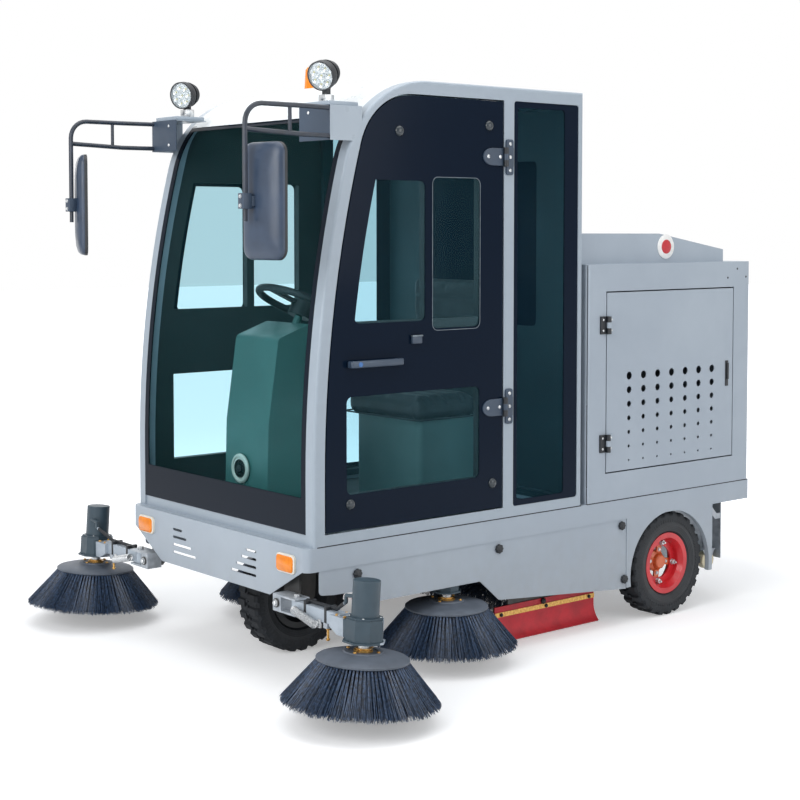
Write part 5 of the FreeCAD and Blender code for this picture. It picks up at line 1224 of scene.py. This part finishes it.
tube_enamel = moulded("dark_tube_enamel", "#283140", "#1E2631", 40, (0.3, 0.42), 5, 0.04)
shape = bmesh.new()
shape.from_mesh(nodes["mirror_arms"].data)
front_plane = at(0, 56.9, 0).y
arms = [face for face in shape.faces if face.calc_center_median().y < front_plane]
bmesh.ops.delete(shape, geom=arms, context="FACES")
for face in shape.faces:
    face.material_index = int(face.calc_center_median().y > at(0, 61, 0).y)
brackets = mesh_piece("mirror_brackets", [], [])
shape.to_mesh(brackets.data)
shape.free()
for material in (bracket_coat, frame_coat):
    brackets.data.materials.append(material)
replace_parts(ready(brackets, "chassis"), "mirror_arms")

low, high = 1803, 1892
post_x, post_y = 554, -273
shell = [rounded(*ring, 8) for ring in (
    (86, 179.5, 34, 17), (86.5, 180, 34, 5), (84.5, 178, 33.5, -2), (77, 170, 33, -10), (62, 150, 31, -17),
    (40, 116, 27, -21), (16, 62, 14, -23))]
rim = [rounded(*ring, 8) for ring in (
    (86.9, 180.4, 34.4, 7), (87.4, 180.9, 34.9, 9), (87.4, 180.9, 34.9, 17), (84, 177.5, 33, 18.6),
    (79, 172.5, 29, 18.6), (79, 172.5, 29, 16.9))]
for side, s in sides:
    yaw = math.radians(10 if s > 0 else -25)
    mirror = facing(at(s * 577, -222, 1592), (-math.sin(yaw), math.cos(yaw), 0))
    assemble("mirror_head_" + side, [
        lofted("shell", shell, mirror, mirror_shell), lofted("rim", rim, mirror, black_plastic),
        lofted("glass", [rounded(78.5, 172, 29, h, 8) for h in (16.9, 18)], mirror, mirror_glass),
        block("clamp", (s * 539, -290, 1568), (s * 569, -257, 1616), bracket_coat, 2),
        block("clamp_lug", (s * 545, -259, 1576), (s * 569, -232, 1608), bracket_coat, 2)],
        "chassis", "mirrors")
    parts = [tube(name, [at(s * x, y, z) for x, y, z in points], radius, tube_enamel, count)
             for name, points, radius, count in (
                 ("lower", [(538, 59, low), (post_x, -65, low), (post_x, post_y + 2, low + 8)], 8, 14),
                 ("brace", [(post_x, -105, low), (post_x, -105, high)], 6, 12),
                 ("foot", [(post_x, post_y, 1568), (post_x, post_y, 1530)], 7, 12))]
    post = [at(s * 538, 59, high), at(s * post_x, -65, high), at(s * post_x, post_y, high),
            at(s * post_x, post_y, 1567)]
    assemble("mirror_arm_" + side, [tube("post", bent(post, 62), 8, tube_enamel, 14)] + parts, "chassis",
             "mirror_arms")
    fasten("mirror_bolts_" + side, heads["bolt"], zinc, [
        (at(s * post_x, -290, z), (0, -1, 0), 13) for z in (1578, 1606)], "chassis")
    fasten("bracket_bolts_" + side, heads["button"], zinc, [
        (at(s * 430, 57, z), (0, -1, 0), 11) for z in (1812, 1881)], "chassis")

# %% [markdown]
# ## Trim
# Rubber seams run where the cab and the box stand on the lower body, and a thin
# bright line edges the sliding pane of each door. A slim latch holds each service
# door, and the door hinges have a long leaf on the pillar.

# %% Seams, pane edges and latches
for side, s in sides:
    for name, y0, y1 in (("cab_seam_", 2, 1211), ("box_seam_", 1242, 2185)):
        ready(block(name + side, (s * 540, y0, 485.2), (s * 546.7, y1, 488.8), dark_rubber, 0.3), "chassis")
    pane = facing(at(s * 545.9, 595.5, 1422.5), (s, 0, 0))
    edge = [rounded(*ring, 6) for ring in ((109, 259, 24, 0), (109, 259, 24, 1), (107.4, 257.4, 22.4, 1),
                                           (107.4, 257.4, 22.4, 0))]
    ready(lofted("pane_edge_" + side, edge, pane, satin_edge, loop=True), "door_" + side)
    assemble("service_latch_" + side, [
        block("latch_plate", (s * 545.8, 2034, 878), (s * 549, 2052, 980), black_plastic, 1.2),
        block("latch_grip", (s * 548.5, 2038, 905), (s * 556, 2048, 972), black_plastic, 2.5)],
        "service_flap_" + side)
    for level in door_hinge_levels:
        plate = facing(at(s * 546.2, 840, level), (s, 0, 0))
        leaf = [rounded(17, 62, 9, 0), rounded(17, 62, 9, 5.5), rounded(15.5, 60.5, 8, 7)]
        ready(lofted(f"pillar_leaf_{side}_{level}", leaf, plate, bracket_coat), "chassis")

# %% [markdown]
# The hinge leaf on a door is D-shaped, with its knuckle behind it. The pull handle
# stands on two feet and has a blue lock insert, and a small catch sits above it.

# %% Door hardware
def leaf_outline(inset, height):
    """The D of a hinge leaf: straight behind, an arc in front; a is rearwards."""
    points = [(50 - inset, 30 - inset, height), (50 - inset, -30 + inset, height)]
    for n in range(11):
        a = math.pi / 2 * (1 + n / 5)
        points.append(((42 - inset) * math.cos(a) - 2, -(30 - inset) * math.sin(a), height))
    return points


blue_lock = moulded("blue_lock_insert", "#3F74B4", "#30609C", 6, (0.25, 0.35), 0, 0)
leaf = [leaf_outline(0, 0), leaf_outline(0, 4.5), leaf_outline(1.5, 6)]
for side, s in sides:
    parts = []
    flip = Matrix.Diagonal((s, 1, 1, 1)) @ Matrix.Translation((-0.022, 0, 0))
    for level in door_hinge_levels:
        turn = facing(at(s * 546.4, 781, level), (s, 0, 0))
        knuckle = [at(s * 559, 814.5, level + h) for h in (-10.4, 10.4)]
        parts += [lofted("leaf", leaf, turn @ flip, bracket_coat),
                  tube("knuckle", knuckle, 9, bracket_coat, 16)]
    parts += [block("foot", (s * 546.3, y, 1058), (s * 570, y + 24, 1080), bracket_coat, 4)
              for y in (124, 319)]
    parts += [block("grip", (s * 559.5, 124, 1057.5), (s * 572.3, 343, 1080.5), bracket_coat, 5),
              turned("lock", [(0, 0), (8, 0), (8, 2), (0, 2.6)], facing(at(s * 572, 160, 1069), (s, 0, 0)),
                     blue_lock, 20),
              block("catch", (s * 545.9, 392, 1124), (s * 558, 434, 1150), bracket_coat, 3),
              block("catch_lip", (s * 548, 390, 1148), (s * 560, 436, 1153), satin_edge, 1.5)]
    assemble("door_hardware_soft_" + side, parts, "door_" + side, "door_hardware_" + side)

# %% [markdown]
# ### The strip over the windscreen
# A black rubber strip closes the joint between the glass and the roof.

# %% Windscreen strip
screen_low, screen_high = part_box("windscreen")
top_edge = max((v.co for v in nodes["windscreen"].data.vertices), key=lambda co: co.z)
strip = [Vector((x, top_edge.y, screen_high.z + 0.001))
         for x in (screen_low.x + 0.002, screen_high.x - 0.002)]
ready(tube("screen_strip", strip, 5, dark_rubber, 10), "chassis")

# %% [markdown]
# Round marker discs stand on the sides of the tank cover: a white ring with a red
# middle, made as two thin turned plates.

# %% Markers on the tank cover
for side, s in sides:
    spot = facing(at(s * 504, 1717, 1437), (s, 0, 0))
    assemble("marker_disc_" + side, [
        turned("marker_ring", [(0, 0), (47, 0), (47, 3), (45, 4), (0, 4)], spot, marker_white, 40),
        turned("marker_middle", [(0, 4), (27, 4), (27, 5.6), (25, 6.4), (0, 6.4)], spot, marker_red, 32)],
        "chassis")

# %% [markdown]
# ## Tread
# Between the shoulder lugs of the solid tyre lies a ring of centre blocks, and the
# shoulders carry finer ribs. One tree sets a block on a circle as often as it is
# asked to; the block is drawn at the top of the tyre with its radius along Z.

# %% The tread tree
tree, given, sockets = new_tree("wheel_ring", [
    ("Count", "Int", 52), ("Radius", "Float", 0.2), ("Block", "Object", None),
    ("Material", "Material", None)])
points = add_node(tree, "GeometryNodePoints", links={"Count": given["Count"]})
number = add_node(tree, "GeometryNodeInputIndex")
angle = formula(tree, "MULTIPLY", ("DIVIDE", number, given["Count"]), 2 * math.pi)
spot = add_node(tree, "ShaderNodeCombineXYZ", links={
    "Y": formula(tree, "MULTIPLY", given["Radius"], ("MULTIPLY", ("SINE", angle), -1)),
    "Z": formula(tree, "MULTIPLY", given["Radius"], ("COSINE", angle))})
moved = add_node(tree, "GeometryNodeSetPosition", links={"Geometry": points, "Position": spot})
info = add_node(tree, "GeometryNodeObjectInfo", {"transform_space": "ORIGINAL"}, {"Object": given["Block"]})
turn = add_node(tree, "ShaderNodeCombineXYZ", links={"X": angle})
placed = add_node(tree, "GeometryNodeInstanceOnPoints", links={
    "Points": moved, "Instance": info.outputs["Geometry"], "Rotation": turn})
close_tree(tree, placed, given["Material"])
wheel_ring = tree, sockets

top_block = lofted("tread_block", [
    [(-6, -8, -3), (6, -5, -3), (6, 8, -3), (-6, 5, -3)],
    [(-5, -7, 6), (5, -4, 6), (5, 7, 6), (-5, 4, 6)]], origin, dark_rubber)
rib_block = lofted("shoulder_rib", [
    [(-3, -4, -8), (3, -4, -8), (3, 4, -8), (-3, 4, -8)],
    [(-2, -3, 8), (2, -3, 8), (2, 3, 8), (-2, 3, 8)]], origin, dark_rubber)
wheels = [("back_wheel_left", 487, rear_wheel_y, 51, rear_tyre_rubber),
          ("back_wheel_right", -487, rear_wheel_y, 51, rear_tyre_rubber),
          ("drive_wheel", 0, front_wheel_y, 58, front_tyre_rubber)]
for body, x, y, half_width, rubber in wheels:
    reach = half_width - 2.5
    for name, count, radius, lug, shift in (("tread_" + body, 52, 0.1945, top_block, 0),
                                            (f"ribs_{body}_in", 78, 0.170, rib_block, -reach),
                                            (f"ribs_{body}_out", 78, 0.170, rib_block, reach)):
        values = {"Count": count, "Radius": radius, "Block": lug, "Material": rubber}
        ring = grow(name, wheel_ring, values, body, "tyre_rubber")
        ring.data.transform(Matrix.Translation(at(x + shift, y, wheel_radius)))
for piece in (top_block, rib_block, *heads.values()):
    bpy.data.objects.remove(piece)

# %% [markdown]
# ## Inside the cab
# Through the glass one sees the floor mat with its ribs, the round fan at the foot
# of the console, and the two pedals with their ribbed pads.

# %% Mat, console and pedals
ribs = [block("mat_rib", (-440, y, 487), (440, y + 6, 491), carpet, 1.2) for y in range(350, 660, 24)]
assemble("floor_mat", ribs, "chassis")
cover = facing(at(-25, 94, 668), (0, -1, 0))
parts = [turned("fan_rim", [(0, 0), (52, 0), (52, 5), (47, 9), (42, 9), (40, 4), (0, 4)], cover,
                cream_plastic, 40),
         turned("fan_hub", [(0, 4), (14, 4), (14, 9), (10, 11), (0, 11)], cover, black_plastic, 24)]
parts += [turned("fan_ring", [(r, 4), (r + 3, 4), (r + 3, 7), (r, 7), (r, 4)], cover, black_plastic, 32)
          for r in (20, 29)]
assemble("console_fan", parts, "chassis")
pedal_lean = math.radians(35)
for side, s in sides:
    pad = facing(at(s * 205, 268, 566), (0, math.cos(pedal_lean), math.sin(pedal_lean)))
    parts = [lofted("pad", [rounded(31, 29, 6, 0), rounded(31, 29, 6, 3), rounded(29, 27, 5, 4)], pad,
                    dark_rubber)]
    for n in range(-2, 3):
        row = pad @ Matrix.Translation(Vector((0, n * 11, 4)) * mm)
        parts.append(lofted("grip", [rounded(26, 2.5, 1, 0, 2), rounded(25, 1.6, 0.8, 2, 2)], row,
                            dark_rubber))
    assemble("pedal_pad_" + side, parts, "chassis")

# %% [markdown]
# ## The seat
# A cushion is foam under sewn vinyl: its faces are crowned and its edges pull in at
# the seams. The cloth solver swells a slightly smaller block with a little pressure
# and no gravity, and no point may move further than a cap. The sewn channels are
# pressed in after that, and a round welt follows the seam.

# %% Cushions
voxel, pressure, cap = 6, 4, 12
channel_depth, channel_width = 7, 9


def swell(piece):
    """Remesh a closed shape, swell it as cloth under pressure and keep the result."""
    remesh = piece.modifiers.new("remesh", "REMESH")
    remesh.mode = "VOXEL"
    remesh.voxel_size = voxel * mm
    piece = baked(piece, piece.name)
    rest = [v.co.copy() for v in piece.data.vertices]
    cloth = piece.modifiers.new("cloth", "CLOTH")
    cloth.settings.use_pressure = True
    cloth.settings.uniform_pressure_force = pressure
    cloth.settings.effector_weights.gravity = 0
    for frame_number in range(1, 21):
        scene.frame_set(frame_number)
    piece = baked(piece, piece.name)
    for vertex, start in zip(piece.data.vertices, rest):
        move = vertex.co - start
        if move.length > cap * mm:
            vertex.co = start + move * (cap * mm / move.length)
    scene.frame_set(1)
    return piece


def press(piece, direction, across, side, lines, low, high):
    """Press sewn channels into the face on one side; lines are their places along the other axis."""
    for vertex in piece.data.vertices:
        height = (vertex.co[direction] - low) / (high - low)
        if side * (height - 0.5) < 0.15:
            continue
        for middle in lines:
            off = (vertex.co[across] - middle) / (channel_width * mm)
            vertex.co[direction] -= side * channel_depth * mm * math.exp(-off * off)


def finished_cushion(name, piece, node):
    piece.modifiers.new("smooth", "SUBSURF").levels = 1
    piece = baked(piece, name)
    piece.data.materials.clear()
    piece.data.materials.append(seat_vinyl)
    piece.data.shade_smooth()
    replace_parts(ready(piece, "chassis"), node)


seat = swell(block("seat_block", (-216, 702, 806), (216, 1008, 884), seat_vinyl, 26))
press(seat, 2, 1, 1, [at(0, y, 0).y for y in (790, 860, 930)], at(0, 0, 806).z, at(0, 0, 892).z)
for vertex in seat.data.vertices:
    vertex.co.z = max(vertex.co.z, at(0, 0, 801).z)
finished_cushion("seat_cushion_soft", seat, "seat_cushion")
back = swell(block("back_block", (-216, 1032, 903), (216, 1096, 1322), seat_vinyl, 26))
press(back, 1, 2, -1, [at(0, 0, z).z for z in (1000, 1080, 1160, 1240)], at(0, 1026, 0).y, at(0, 1104, 0).y)
finished_cushion("seat_back_soft", back, "seat_back")
welt = [at(a, 855, 810) + Vector((0, b * mm, 0)) for a, b, _ in rounded(222, 158, 30, 0, 6)]
ready(tube("seat_welt", welt, 3.2, seat_vinyl, 8, loop=True), "chassis")

# %% [markdown]
# ## Size
# The sizes of the solids and of the dressed sweeper are printed side by side.

# %% Size and end
new_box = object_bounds()
for label, box in (("solids", cad_box), ("scene", new_box)):
    print("size of the", label, [round(b - a, 4) for a, b in zip(*box)])
